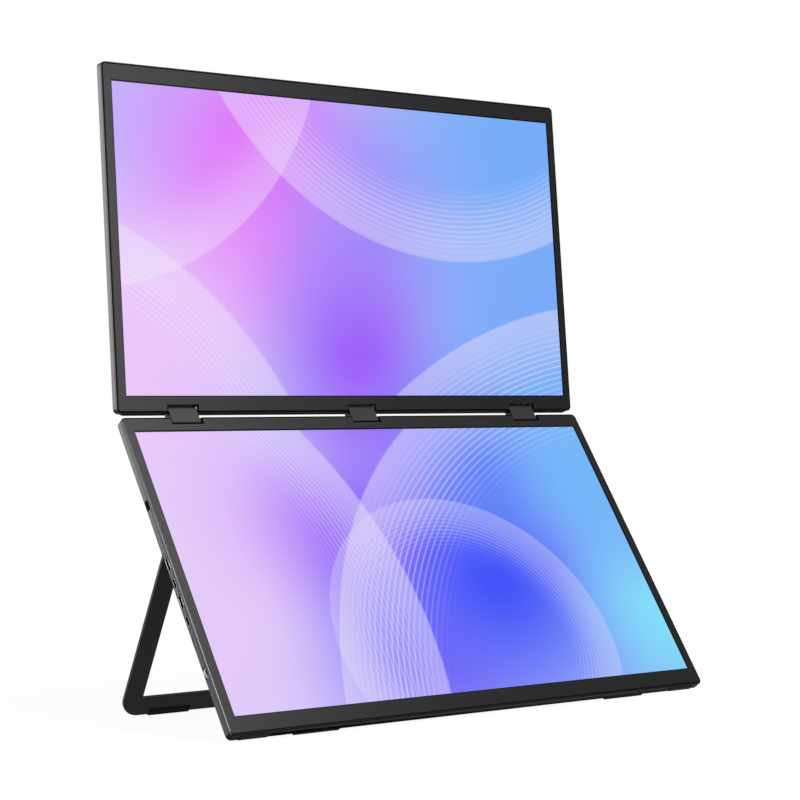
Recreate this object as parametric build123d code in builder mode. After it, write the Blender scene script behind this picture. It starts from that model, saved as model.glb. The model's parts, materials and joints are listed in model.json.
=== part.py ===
from build123d import *
import math
import os

os.makedirs("parts", exist_ok=True)

# Screen and outline of one panel, in millimetres; both panels are alike
active_width = 344.2
active_height = 193.6
side_bezel = 5.9
hinge_bezel = 10.1
far_bezel = 11.1
corner_radius = 5.0
panel_thickness = 7.0
front_edge_bevel = 0.7
back_edge_bevel = 0.7
seam_depth = 1.7
seam_gap = 0.25
seam_groove = 0.6

# Layers behind the face of a panel
lip_thickness = 0.5
lcd_border = 2.0
lcd_far_ledge = 6.0
lcd_clearance = 0.3
glass_thickness = 0.8
guide_thickness = 0.7
tray_sheet = 0.4
cover_wall = 1.6
cover_floor = 1.1
lcd_ledge = 2.6
screw_skin = 0.4
screw_tip_gap = 0.1
fuse_overlap = 0.4
overcut = 1.0

# Double-axis hinge
axis_inset = 1.5
axis_depth = 3.9
closed_gap = 0.5
notch_width = 22.0
notch_reach = 5.4
side_link_inset = 45.0
link_width = 20.0
link_thickness = 6.0
link_overhang = 2.55
link_edge_radius = 1.2
knuckle_width = 15.0
link_front_wall = 1.1
link_side_wall = 2.5
link_end_wall = 0.65
link_cover_thickness = 0.9
link_cover_gap = 0.1
link_screw_offset = 5.4
link_screw_length = 2.4
link_screw_floor = 1.0
link_boss_radius = 1.6
pin_radius = 1.0
hollow_pin_radius = 1.3
hollow_pin_bore = 0.95
running_clearance = 0.06
clip_thickness = 0.62
clip_width = 7.2
clip_slit = 0.7
clip_tail = 0.3
hub_width = 6.2
hub_gap = 0.2
hub_rise = 1.9
leaf_thickness = 1.2
leaf_length = 18.0
bracket_neck = 5.0
neck_inset = 0.6
bracket_boss = 0.6
bracket_screw_pitch = 12.0
bracket_screw_inset = 3.2
hinge_seat_gap = 0.1
cable_radius = 0.75
cable_bend = 7.0
cable_channel_gap = 0.1
cable_step = 5.5
lower_cable_run = 34.0
lower_cable_drop = 22.0
lower_cable_bends = (3.5, 16.0, 12.0)
upper_cable_run = 60.0
upper_cable_turn = 130.0
upper_cable_bends = (3.5, 40.0, 40.0)

# Screws, by the size of their heads and shanks
small_head_radius = 1.8
small_head_height = 0.6
small_shank_radius = 0.8
tiny_head_radius = 1.1
tiny_head_height = 0.4
tiny_shank_radius = 0.5
shank_clearance = 0.05
few_sides = 6
cable_sides = 4
pin_sides = 12
case_screw_sink = 0.3
corner_screw_inset = 14.0
stand_screw_sink = 0.2
stand_screw_inset = 3.2
stand_screw_offset = 3.6
stand_boss_radius = 2.4
stand_boss_height = 1.1
board_screw_inset = 5.0
board_screw_low = 9.0
board_screw_from_right = 24.0
board_screw_grip = 2.8

# Pose in the photo: how far each panel leans back from upright
lower_recline = 35.3
upper_recline = 4.65

# Raised middle of the lower back and the trough that takes the folded stand
plateau_rise = 3.2
plateau_stand_gap = 1.5
ridge_step = 19.0
ridge_start = 1.5
plateau_edge = 1.2
plateau_corner = 2.4
plateau_past_pivot = 12.6
bracket_seat_wall = 2.0
plateau_wall = 2.5

# Stand: a flat U that swings on two pins
stand_side_inset = 2.1
stand_bar = 12.4
stand_thickness = 2.8
stand_gap = 0.5
stand_reach = 113.0
stand_pivot_from_end = 111.4
stand_corner_outer = 12.0
stand_corner_inner = 2.0
stand_edge_bevel = 0.4
stand_side_gap = 0.4
stand_pin_radius = 0.9
stand_pin_reach = 10.5
stand_bracket_length = 14.0
stand_bracket_height = 13.0
stand_slit = 0.6
stand_pin_inset = 1.0
stand_pin_end_gap = 0.4
pad_inset = 21.0
pad_length = 28.0
pad_height = 5.2
pad_proud = 0.3
pad_overhang = 1.2
pad_recess = 0.6
pad_back_step = 0.2
finger_scoop_width = 34.0
finger_scoop_depth = 2.2
scoop_overlap = 4.0

# Feet of the lower panel
front_foot_inset = 16.5
front_foot_length = 19.0
front_foot_start = 2.1
front_foot_height = 4.0
front_foot_proud = 0.5
foot_recess = 0.8
rear_foot_inset = 26.5
rear_foot_length = 31.0
rear_foot_reach = 4.4
rear_foot_drop = 2.4
rear_foot_proud = 0.7
contact_flat = 0.25
floor_cut_depth = 4.0

# Openings of the left wall, measured from the far edge of the screen
wall_line_depth = 4.1
lock_slot_at = 142.8
lock_slot_length = 6.2
lock_slot_height = 3.2
lock_wall = 1.3
lock_chamber_length = 9.0
lock_chamber_depth = 3.2
lock_bevel = 0.4
pinhole_spots = (109.2, 59.0)
pinhole_radius = 0.4
pinhole_depth = 1.4
usb_c_spots = (102.2, 77.0)
usb_c_width = 8.94
usb_c_height = 3.26
usb_c_length = 7.3
usb_c_inner_bevel = 0.9
usb_c_tongue = 0.7
usb_c_tongue_width = 6.7
micro_hdmi_spots = (89.5, 64.4)
micro_hdmi_width = 6.7
micro_hdmi_height = 3.0
micro_hdmi_length = 7.0
micro_hdmi_bevel = 0.7
micro_hdmi_tongue = 0.6
micro_hdmi_tongue_width = 4.6
socket_shell = 0.3
socket_back = 0.6
tongue_setback = 1.0
socket_tab = (3.0, 1.0, 0.3)
socket_tab_setback = 1.2
socket_inset = 0.2
socket_gap = 0.1
power_button_at = 50.4
power_button_length = 6.6
power_button_height = 2.4
power_button_inset = 0.2
button_gap = 0.15
button_travel = 0.4
button_flange = 1.0
button_flange_margin = 0.8
button_flange_height = 2.0
button_stem = (0.5, 1.6, 1.2)
switch_stem_gap = 0.1
switch_size = (3.0, 5.0, 2.7)
switch_lug = (1.6, 1.5, 0.3)
wheel_at = 30.5
wheel_radius = 4.0
wheel_thickness = 2.3
wheel_proud = 0.75
wheel_gap = 0.3
wheel_mouth = 6.6
wheel_wall = 0.6
wheel_axle_radius = 0.8
wheel_ribs = 16
wheel_rib_size = 0.5
wheel_travel = 0.3
carriage_gap = 0.12
carriage_width = 4.4
carriage_reach = 1.2
carriage_front = 1.4
wheel_switch_size = (3.4, 5.6)
wheel_switch_gap = 0.1

# Main board and what stands on it
board_thickness = 0.8
driver_board_thickness = 0.6
driver_board_width = 7.6
driver_board_before_end = 6.0
driver_chips = ((-55, 12), (-8, 7), (30, 14), (70, 9))
driver_chip_margin = 1.5
driver_chip_height = 1.1
driver_board_half_length = 92.0
board_depth = 3.7
board_width = 70.0
board_top_from_active = 109.5
board_bottom_from_active = 18.0
board_edge_gap = 0.4
board_pocket_margin = 2.0
board_parts = (
    (24, 30, 15, 1.2),
    (24, 55, 12, 1.2),
    (34, 42, 8, 2.4),
    (14, 72, 7, 3.0),
    (28, 76, 7, 3.0),
)
connector_width = 14.0
connector_inset = 3.0
connector_length = 2.4
connector_rise = 0.8
connector_drop = 0.6
flat_cable_width = 8.0
flat_cable_thickness = 0.25
flat_cable_at = 62.0
speaker_length = 40.0
speaker_width = 14.0
speaker_height = 3.4
speaker_offset = 62.0
speaker_from_active = 26.0
speaker_rim = 2.5
speaker_cone_depth = 1.0
speaker_gap = 0.2
speaker_frame_wall = 1.0
speaker_frame_height = 2.0
sound_slot_count = 7
sound_slot_pitch = 4.0
sound_slot_length = 8.0
sound_slot_width = 1.4

# Everything below is worked out from the sizes above
half_width = active_width / 2 + side_bezel
edge_at = -axis_inset
active_start = hinge_bezel - axis_inset
active_end = active_start + active_height
far_at = active_end + far_bezel
notch_end = edge_at + notch_reach
axis_distance = 2 * axis_depth + closed_gap
side_link_offset = half_width - side_link_inset
link_offsets = (-side_link_offset, 0.0, side_link_offset)
lcd_half = active_width / 2 + lcd_border
lcd_start = active_start - lcd_border
lcd_end = active_end + lcd_far_ledge
guide_depth = lip_thickness + glass_thickness
tray_depth = guide_depth + guide_thickness + tray_sheet
floor_depth = panel_thickness - cover_floor
plateau_depth = panel_thickness + plateau_rise
deep_floor = plateau_depth - cover_floor
leaf_depth = floor_depth - bracket_boss - leaf_thickness
hub_end = notch_width / 2 + hub_gap + hub_width
cable_turn = hub_end + cable_step
driver_board_at = active_end - driver_board_before_end
stand_pivot_at = active_end - stand_pivot_from_end
stand_pivot_depth = panel_thickness + stand_gap + stand_thickness / 2
stand_half_width = half_width - stand_side_inset
stand_inner = stand_half_width - stand_bar
plateau_half_width = stand_inner - plateau_stand_gap
ridge_half_width = plateau_half_width - ridge_step
pad_offset = stand_inner - pad_inset
front_foot_offset = half_width - front_foot_inset
rear_foot_offset = ridge_half_width - rear_foot_inset
case_screw_seat = panel_thickness - tiny_head_height - case_screw_sink
stand_boss_depth = floor_depth - stand_boss_height
bracket_outer = plateau_half_width
bracket_inner = bracket_outer - stand_bracket_length
deep_cavity_half_width = bracket_inner - bracket_seat_wall
link_back = link_thickness / 2
link_pocket_top = -link_back + link_front_wall
pocket_half = link_width / 2 - link_side_wall
pocket_ends = (-link_overhang + link_end_wall, axis_distance + link_overhang - link_end_wall)
link_screw_spots = [offset + side * link_screw_offset for offset in link_offsets for side in (-1, 1)]
board_right = half_width - cover_wall - board_edge_gap
board_left = board_right - board_width
board_low = active_end - board_top_from_active
board_high = active_end - board_bottom_from_active
board_back = board_depth + board_thickness
connector_left = board_left + connector_inset
connector_x = connector_left + connector_width / 2
speaker_y = active_end - speaker_from_active
button_back = half_width - cover_wall - button_gap
switch_front = button_back - button_flange - button_stem[0] - switch_stem_gap - button_travel
wheel_top = wall_line_depth - wheel_thickness / 2
wheel_x = half_width + wheel_proud - wheel_radius
wheel_y = active_end - wheel_at
carriage_end = wheel_x - wheel_radius - carriage_reach
wheel_room = wheel_x - wheel_radius - wheel_gap - wheel_travel
left, middle, right = "left", "middle", "right"


def lean_plane(y, z, recline, x_sign):
    """A face plane that leans back, with its local y running away from the hinge."""
    lean = math.radians(recline)
    return Plane(
        origin=(0, y, z), x_dir=(x_sign, 0, 0), z_dir=(0, -math.cos(lean), math.sin(lean))
    )


def contact_height():
    """Height of the lower panel's hinge line at which its rear feet stand flat on the floor."""
    lean = math.radians(lower_recline)
    corner = (far_at - ridge_start) * math.cos(lean) + plateau_depth * math.sin(lean)
    return corner + rear_foot_proud - contact_flat


def stand_lean():
    """Angle of the stand's legs from upright at which their pads stand flat on the floor."""
    height = stand_origin.Z - pad_overhang + contact_flat
    front = stand_thickness / 2 + pad_proud - pad_overhang
    return math.degrees(
        math.acos(height / math.hypot(stand_reach, front)) + math.atan2(front, stand_reach)
    )


def depth_extent():
    """Middle of the whole object from front to back, with the hinge line at zero."""
    lean = math.radians(lower_recline)
    low = -(far_at - front_edge_bevel) * math.sin(lean)
    upper_lean = math.radians(upper_recline)
    axis_b = lower_axis_y + axis_distance * math.sin(lean)
    high = (
        axis_b
        + (far_at - back_edge_bevel) * math.sin(upper_lean)
        + (panel_thickness - axis_depth) * math.cos(upper_lean)
    )
    return (low + high) / 2


hinge_lean = math.radians(lower_recline)
lower_axis_y = axis_depth * math.cos(hinge_lean)
lower_height = contact_height()
shift = -depth_extent()
lower = lean_plane(shift, lower_height, lower_recline, -1)
axis_a = lower.from_local_coords((0, 0, -axis_depth))
link = Plane(origin=axis_a, x_dir=(1, 0, 0), z_dir=lower.z_dir)
axis_b = link.from_local_coords((0, axis_distance, 0))
upper = lean_plane(axis_b.Y, axis_b.Z, upper_recline, 1)
upper = Plane(
    origin=upper.from_local_coords((0, 0, axis_depth)), x_dir=(1, 0, 0), z_dir=upper.z_dir
)
stand_origin = lower.from_local_coords((0, stand_pivot_at, -stand_pivot_depth))
leg_lean = math.radians(stand_lean())
stand = Plane(
    origin=stand_origin, x_dir=(-1, 0, 0), z_dir=(0, -math.cos(leg_lean), -math.sin(leg_lean))
)


def save(piece, name):
    """Label a finished piece and write it to its own file."""
    piece.part.label = name
    export_step(piece.part, f"parts/{name}.step")


def block(frame, xs, ys, depths, radius=0.0, bevel=0.0, mode=Mode.ADD):
    """A straight-sided piece between two places along x, y and depth; round or bevelled corners."""
    with BuildSketch(frame.offset(-depths[1])) as outline:
        with Locations(((xs[0] + xs[1]) / 2, (ys[0] + ys[1]) / 2)):
            if radius:
                RectangleRounded(xs[1] - xs[0], ys[1] - ys[0], radius)
            else:
                Rectangle(xs[1] - xs[0], ys[1] - ys[0])
        if bevel:
            chamfer(outline.vertices(), bevel)
    extrude(outline.sketch, amount=depths[1] - depths[0], mode=mode)


def posts(frame, spots, radius, depths, mode=Mode.ADD, sides=few_sides):
    """Posts, or holes, square to a face: six-sided where small and still, round for sides of 0."""
    with BuildSketch(frame.offset(-depths[1])) as outline:
        with Locations(*spots):
            if sides:
                RegularPolygon(radius, sides)
            else:
                Circle(radius)
    extrude(outline.sketch, amount=depths[1] - depths[0], mode=mode)


def rod(frame, x_from, x_to, y, depth, radius, mode=Mode.ADD, sides=pin_sides):
    """A bar or bore along the local x of a frame: twelve-sided on a pin, round for sides of 0."""
    ends = Plane(
        origin=frame.from_local_coords((x_from, y, -depth)),
        x_dir=frame.y_dir,
        z_dir=frame.x_dir,
    )
    with BuildSketch(ends) as outline:
        if sides:
            RegularPolygon(radius, sides)
        else:
            Circle(radius)
    extrude(outline.sketch, amount=x_to - x_from, mode=mode)


def side_plane(frame, x, y, depth):
    """A plane across the local x of a frame: its x runs with the frame's y."""
    return Plane(
        origin=frame.from_local_coords((x, y, -depth)), x_dir=frame.y_dir, z_dir=frame.x_dir
    )


def opening_outline(plane, length, height, bevel=0.0):
    """Outline of an opening or a socket: round ends, or straight ones with bevelled corners."""
    with BuildSketch(plane) as outline:
        if bevel:
            Rectangle(length, height)
            chamfer(outline.vertices(), bevel)
        else:
            SlotOverall(length, height)
    return outline.sketch


def wall_cut(at, length, height, reach, bevel=0.0):
    """An opening in the left wall of the lower panel, cut inwards by its reach."""
    plane = side_plane(lower, half_width + overcut, active_end - at, wall_line_depth)
    opening = opening_outline(plane, length, height, bevel)
    extrude(opening, amount=-(reach + overcut), mode=Mode.SUBTRACT)


def outline_block(frame, depths, inset=0.0, mode=Mode.ADD):
    """The whole outline of a panel, drawn in by an inset."""
    block(
        frame,
        (-half_width + inset, half_width - inset),
        (edge_at + inset, far_at - inset),
        depths,
        radius=corner_radius - inset,
        mode=mode,
    )


def cut_notches(frame, depths):
    """The three notches of the hinge edge."""
    for offset in link_offsets:
        block(
            frame,
            (offset - notch_width / 2, offset + notch_width / 2),
            (edge_at - overcut, notch_end),
            depths,
            mode=Mode.SUBTRACT,
        )


def case_screw_spots():
    """Where the screws hold a back cover to its bezel."""
    far_row = (lcd_end + lcd_clearance + far_at) / 2
    hinge_row = (edge_at + lcd_start - lcd_clearance) / 2
    between = side_link_offset / 2
    outer = half_width - corner_screw_inset
    spots = [(x, far_row) for x in (-outer, -outer / 3, outer / 3, outer)]
    return spots + [(x, hinge_row) for x in (-between, between)]


def make_bezel(frame, name):
    """Front frame: a thin lip round the screen on a low outer rim."""
    with BuildPart() as bezel:
        outline_block(frame, (0, seam_depth))
        front = bezel.faces().sort_by(Axis(frame.origin, frame.z_dir))[-1]
        chamfer(front.edges(), front_edge_bevel)
        outline_block(frame, (seam_depth, seam_depth + seam_gap), inset=seam_groove)
        block(
            frame,
            (-active_width / 2, active_width / 2),
            (active_start, active_end),
            (-overcut, seam_depth + seam_gap),
            mode=Mode.SUBTRACT,
        )
        block(
            frame,
            (-lcd_half - lcd_clearance, lcd_half + lcd_clearance),
            (lcd_start - lcd_clearance, lcd_end + lcd_clearance),
            (lip_thickness, seam_depth + seam_gap),
            mode=Mode.SUBTRACT,
        )
        cut_notches(frame, (-overcut, seam_depth + seam_gap))
        posts(
            frame,
            case_screw_spots(),
            tiny_shank_radius + shank_clearance,
            (lip_thickness + screw_tip_gap, seam_depth + seam_gap),
            mode=Mode.SUBTRACT,
        )
    save(bezel, name + "_front_bezel")


def make_display(frame, name):
    """Display glass, light guide and backlight tray, stacked behind the bezel's lip."""
    xs = (-lcd_half, lcd_half)
    ys = (lcd_start, lcd_end)
    with BuildPart() as glass:
        block(frame, xs, ys, (lip_thickness, guide_depth))
    save(glass, name + "_screen")
    rim = tray_sheet
    with BuildPart() as guide:
        block(
            frame,
            (xs[0] + rim, xs[1] - rim),
            (ys[0] + rim, ys[1] - rim),
            (guide_depth, guide_depth + guide_thickness),
        )
    save(guide, name + "_light_guide")
    with BuildPart() as tray:
        block(frame, xs, ys, (guide_depth, tray_depth))
        block(
            frame,
            (xs[0] + rim, xs[1] - rim),
            (ys[0] + rim, ys[1] - rim),
            (guide_depth, guide_depth + guide_thickness),
            mode=Mode.SUBTRACT,
        )
    save(tray, name + "_backlight_tray")


def make_driver_board(frame, name):
    """Long narrow driver board on the back of the tray, with its chips."""
    ys = (driver_board_at, driver_board_at + driver_board_width)
    with BuildPart() as board:
        back = tray_depth + driver_board_thickness
        block(
            frame,
            (-driver_board_half_length, driver_board_half_length),
            ys,
            (tray_depth, back),
        )
        for x, length in driver_chips:
            block(
                frame,
                (x - length / 2, x + length / 2),
                (ys[0] + driver_chip_margin, ys[1] - driver_chip_margin),
                (back, back + driver_chip_height),
            )
    save(board, name + "_driver_board")


def cut_back_screws(frame, spots, outside):
    """Stepped screw holes, sunk from the outside of a back cover."""
    posts(
        frame,
        spots,
        tiny_head_radius + shank_clearance,
        (case_screw_seat, outside + overcut),
        mode=Mode.SUBTRACT,
    )
    posts(
        frame,
        spots,
        tiny_shank_radius + shank_clearance,
        (seam_depth, panel_thickness),
        mode=Mode.SUBTRACT,
    )


def cut_cover_inside(frame):
    """Hollow of a back cover, with a ledge that carries the display."""
    block(
        frame,
        (-lcd_half - lcd_clearance, lcd_half + lcd_clearance),
        (lcd_start - lcd_clearance, lcd_end + lcd_clearance),
        (seam_depth - overcut, tray_depth),
        mode=Mode.SUBTRACT,
    )
    block(
        frame,
        (-lcd_half + lcd_ledge, lcd_half - lcd_ledge),
        (lcd_start + lcd_ledge, lcd_end - lcd_ledge),
        (tray_depth - overcut, floor_depth),
        mode=Mode.SUBTRACT,
    )
    cut_notches(frame, (seam_depth - overcut, panel_thickness + overcut))
    for offset in link_offsets:
        block(
            frame,
            (offset - hub_end - hinge_seat_gap, offset + hub_end + hinge_seat_gap),
            (edge_at - overcut, notch_end + cover_floor + 2 * hinge_seat_gap),
            (seam_depth - overcut, floor_depth),
            mode=Mode.SUBTRACT,
        )
        block(
            frame,
            (offset - hub_end - hinge_seat_gap, offset + hub_end + hinge_seat_gap),
            (notch_end, notch_end + leaf_length + hinge_seat_gap),
            (tray_depth, floor_depth),
            mode=Mode.SUBTRACT,
        )
        block(
            frame,
            (offset - notch_width / 2, offset + notch_width / 2),
            (notch_end, notch_end + cover_floor),
            (seam_depth + seam_gap, floor_depth),
        )


def cut_cable_channel(frame):
    """Way of the cable from the hollow pin round into the hollow of the case."""
    room = cable_radius + cable_channel_gap
    block(
        frame,
        (hub_end, cable_turn + room),
        (-room, lcd_start + lcd_ledge + overcut),
        (axis_depth - room, axis_depth + room),
        mode=Mode.SUBTRACT,
    )


def bracket_screw_spots():
    """Screws of one hinge bracket, about the middle of its notch."""
    row = notch_end + leaf_length - bracket_screw_inset
    return [(-bracket_screw_pitch, row), (bracket_screw_pitch, row)]


def add_bracket_seats(frame):
    """Raised seats that carry the hinge brackets, with blind holes for their screws."""
    half = bracket_screw_pitch + small_head_radius
    high = notch_end + leaf_length
    low = high - 2 * bracket_screw_inset
    for offset in link_offsets:
        spots = [(offset + x, y) for x, y in bracket_screw_spots()]
        block(
            frame,
            (offset - half, offset + half),
            (low, high),
            (leaf_depth + leaf_thickness, floor_depth),
        )
        posts(
            frame,
            spots,
            small_shank_radius + shank_clearance,
            (leaf_depth, panel_thickness - screw_skin),
            mode=Mode.SUBTRACT,
        )


def make_upper_cover(frame):
    """Back cover of the upper panel: a plain shallow tray."""
    with BuildPart() as cover:
        outline_block(frame, (seam_depth + seam_gap, panel_thickness))
        back = cover.faces().sort_by(Axis(frame.origin, frame.z_dir))[0]
        chamfer(back.edges(), back_edge_bevel)
        cut_cover_inside(frame)
        add_bracket_seats(frame)
        cut_cable_channel(frame)
        cut_back_screws(frame, case_screw_spots(), panel_thickness)
    save(cover, "upper_back_cover")


def cut_left_wall():
    """Lock slot, pinholes, sockets, button and wheel openings of the lower panel's left wall."""
    wall_cut(lock_slot_at, lock_slot_length, lock_slot_height, lock_wall, bevel=lock_bevel)
    chamber_plane = side_plane(
        lower, half_width - lock_wall, active_end - lock_slot_at, wall_line_depth
    )
    chamber = opening_outline(chamber_plane, lock_chamber_length, lock_slot_height, lock_bevel)
    extrude(chamber, amount=-lock_chamber_depth, mode=Mode.SUBTRACT)
    for spot in pinhole_spots:
        with BuildSketch(
            side_plane(lower, half_width + overcut, active_end - spot, wall_line_depth)
        ) as pinhole:
            RegularPolygon(pinhole_radius, few_sides)
        extrude(pinhole.sketch, amount=-(pinhole_depth + overcut), mode=Mode.SUBTRACT)
    through = cover_wall + overcut
    for spot in usb_c_spots:
        wall_cut(spot, usb_c_width + 2 * socket_gap, usb_c_height + 2 * socket_gap, through)
    for spot in micro_hdmi_spots:
        wall_cut(
            spot,
            micro_hdmi_width + 2 * socket_gap,
            micro_hdmi_height + 2 * socket_gap,
            through,
            bevel=micro_hdmi_bevel,
        )
    wall_cut(
        power_button_at,
        power_button_length + 2 * button_gap,
        power_button_height + 2 * button_gap,
        through,
    )
    wheel_depths = (wheel_top - wheel_gap, wheel_top + wheel_thickness + wheel_gap)
    chamber_half = wheel_radius + wheel_gap
    mouth_half = wheel_mouth / 2
    block(
        lower,
        (wheel_room, half_width - wheel_wall),
        (wheel_y - chamber_half, wheel_y + chamber_half),
        wheel_depths,
        mode=Mode.SUBTRACT,
    )
    block(
        lower,
        (wheel_x, half_width + overcut),
        (wheel_y - mouth_half, wheel_y + mouth_half),
        wheel_depths,
        mode=Mode.SUBTRACT,
    )


def board_screw_spots():
    """Four screws of the main board."""
    xs = (board_left + board_screw_inset, board_right - board_screw_from_right)
    ys = (board_low + board_screw_low, board_high - board_screw_inset)
    return [(x, y) for x in xs for y in ys]


def cut_stand_seat():
    """Trough for the stand's bar, finger scoop, and pockets for its pads and brackets."""
    bar_low = stand_pivot_at + stand_reach - stand_bar - stand_side_gap
    bar_high = stand_pivot_at + stand_reach + pad_overhang + stand_side_gap
    block(
        lower,
        (-half_width, half_width),
        (bar_low, bar_high),
        (panel_thickness, plateau_depth + overcut),
        mode=Mode.SUBTRACT,
    )
    block(
        lower,
        (-finger_scoop_width / 2, finger_scoop_width / 2),
        (bar_high - scoop_overlap, far_at + overcut),
        (plateau_depth - finger_scoop_depth, plateau_depth + overcut),
        mode=Mode.SUBTRACT,
    )
    for side in (-1, 1):
        block(
            lower,
            tuple(sorted((side * bracket_inner, side * (bracket_outer + overcut)))),
            (
                stand_pivot_at - stand_bracket_height / 2,
                stand_pivot_at + stand_bracket_height / 2,
            ),
            (panel_thickness, plateau_depth + overcut),
            mode=Mode.SUBTRACT,
        )


def stand_screw_spots():
    """Two screws in each stand bracket."""
    spots = []
    for side in (-1, 1):
        for step in (-1, 1):
            x = side * (bracket_inner + stand_screw_inset)
            spots.append((x, stand_pivot_at + step * stand_screw_offset))
    return spots


def foot_spots(offset):
    """Left and right place of a pair of feet."""
    return (-offset, offset)


def rear_foot_profile(grow):
    """Section of a rear foot, wrapped round the lower edge of the ridge."""
    corner = far_at - ridge_start
    return (
        (corner - rear_foot_reach, corner + rear_foot_proud * grow),
        (plateau_depth - rear_foot_drop, plateau_depth + rear_foot_proud * grow),
    )


def make_lower_cover(frame):
    """Back cover of the lower panel: tray, raised middle, trough, wall openings and bosses."""
    ridge_end = far_at - ridge_start
    plateau_start = stand_pivot_at - plateau_past_pivot
    plateau_end = stand_pivot_at + stand_reach - stand_bar - stand_side_gap
    with BuildPart() as cover:
        outline_block(frame, (seam_depth + seam_gap, panel_thickness))
        back = cover.faces().sort_by(Axis(frame.origin, frame.z_dir))[0]
        chamfer(back.edges(), back_edge_bevel)
        block(
            frame,
            (-ridge_half_width, ridge_half_width),
            (plateau_end - 2 * plateau_corner, ridge_end),
            (panel_thickness - back_edge_bevel, plateau_depth),
            bevel=plateau_corner,
        )
        block(
            frame,
            (-plateau_half_width, plateau_half_width),
            (plateau_start, plateau_end),
            (panel_thickness - back_edge_bevel, plateau_depth),
            bevel=plateau_corner,
        )
        rim = cover.faces().sort_by(Axis(frame.origin, frame.z_dir))[0]
        chamfer(rim.edges(), plateau_edge)
        cut_stand_seat()
        cut_cover_inside(frame)
        block(
            frame,
            (-deep_cavity_half_width, deep_cavity_half_width),
            (plateau_start + plateau_wall, plateau_end - plateau_wall),
            (tray_depth, deep_floor),
            mode=Mode.SUBTRACT,
        )
        block(
            frame,
            (lcd_half - lcd_ledge - overcut, board_right + board_edge_gap),
            (board_low - board_pocket_margin, board_high + board_pocket_margin),
            (tray_depth, floor_depth),
            mode=Mode.SUBTRACT,
        )
        posts(
            frame,
            board_screw_spots(),
            small_head_radius,
            (board_back, deep_floor),
        )
        for x in foot_spots(speaker_offset):
            for margin, top, mode in (
                (speaker_gap + speaker_frame_wall, speaker_frame_height, Mode.ADD),
                (speaker_gap, speaker_frame_height + overcut, Mode.SUBTRACT),
            ):
                block(
                    frame,
                    (x - speaker_length / 2 - margin, x + speaker_length / 2 + margin),
                    (speaker_y - speaker_width / 2 - margin, speaker_y + speaker_width / 2 + margin),
                    (deep_floor - top, deep_floor),
                    mode=mode,
                )
            with BuildSketch(frame.offset(-plateau_depth - overcut)) as slots:
                with Locations((x, speaker_y)):
                    with GridLocations(sound_slot_pitch, 1, sound_slot_count, 1):
                        Rectangle(sound_slot_width, sound_slot_length)
            extrude(slots.sketch, amount=cover_floor + 2 * overcut, mode=Mode.SUBTRACT)
        for side in (-1, 1):
            middle_x = side * (bracket_inner + stand_screw_inset)
            reach = stand_screw_offset + stand_boss_radius
            block(
                frame,
                (middle_x - stand_boss_radius, middle_x + stand_boss_radius),
                (stand_pivot_at - reach, stand_pivot_at + reach),
                (stand_boss_depth, floor_depth),
            )
        posts(
            frame,
            stand_screw_spots(),
            small_shank_radius + shank_clearance,
            (stand_boss_depth + screw_skin, panel_thickness + overcut),
            mode=Mode.SUBTRACT,
        )
        posts(
            frame,
            board_screw_spots(),
            small_shank_radius + shank_clearance,
            (board_depth, board_back + board_screw_grip + screw_tip_gap),
            mode=Mode.SUBTRACT,
        )
        add_bracket_seats(frame)
        cut_cable_channel(frame)
        cut_left_wall()
        cut_back_screws(frame, case_screw_spots(), plateau_depth)
        for x in foot_spots(front_foot_offset):
            block(
                frame,
                (x - front_foot_length / 2, x + front_foot_length / 2),
                (far_at - foot_recess, far_at + overcut),
                (front_foot_start, front_foot_start + front_foot_height),
                mode=Mode.SUBTRACT,
            )
        ys, depths = rear_foot_profile(0)
        for x in foot_spots(rear_foot_offset):
            block(
                frame,
                (x - rear_foot_length / 2, x + rear_foot_length / 2),
                (ys[0], ys[1] + overcut),
                (depths[0], depths[1] + overcut),
                mode=Mode.SUBTRACT,
            )
    save(cover, "lower_back_cover")


def make_bracket(frame, offset, name):
    """Hinge bracket: two hubs beside the notch, joined by a leaf screwed to the back cover."""
    with BuildPart() as bracket:
        for side in (-1, 1):
            xs = sorted((offset + side * (notch_width / 2 + hub_gap), offset + side * hub_end))
            block(
                frame,
                xs,
                (edge_at + hinge_seat_gap, notch_end + cover_floor + hinge_seat_gap),
                (axis_depth - hub_rise, axis_depth + hub_rise),
            )
            block(
                frame,
                (xs[0] + neck_inset, xs[1] - neck_inset),
                (notch_end + cover_floor - fuse_overlap, notch_end + cover_floor + bracket_neck),
                (tray_depth + 2 * hinge_seat_gap, leaf_depth + leaf_thickness),
            )
        block(
            frame,
            (offset - hub_end, offset + hub_end),
            (notch_end + cover_floor + hinge_seat_gap, notch_end + leaf_length),
            (leaf_depth, leaf_depth + leaf_thickness),
        )
        bore = hollow_pin_radius if offset == 0 else pin_radius
        rod(frame, offset - hub_end, offset + hub_end, 0, axis_depth, bore, mode=Mode.SUBTRACT)
        posts(
            frame,
            [(offset + x, y) for x, y in bracket_screw_spots()],
            small_shank_radius + shank_clearance,
            (leaf_depth - overcut, leaf_depth + leaf_thickness),
            mode=Mode.SUBTRACT,
        )
    save(bracket, name)


def make_pins(frame, body):
    """Pins of one axis: solid ones outside, two short hollow ones in the middle for a cable."""
    with BuildPart() as pins:
        for offset in (link_offsets[0], link_offsets[-1]):
            rod(frame, offset - hub_end, offset + hub_end, 0, axis_depth, pin_radius)
    save(pins, body + "_hinge_pins")
    with BuildPart() as hollow_pins:
        for x_from, x_to in ((-hub_end, -pocket_half), (pocket_half, hub_end)):
            rod(frame, x_from, x_to, 0, axis_depth, hollow_pin_radius)
            rod(frame, x_from, x_to, 0, axis_depth, hollow_pin_bore, mode=Mode.SUBTRACT)
    save(hollow_pins, body + "_hollow_hinge_pins")


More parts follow.
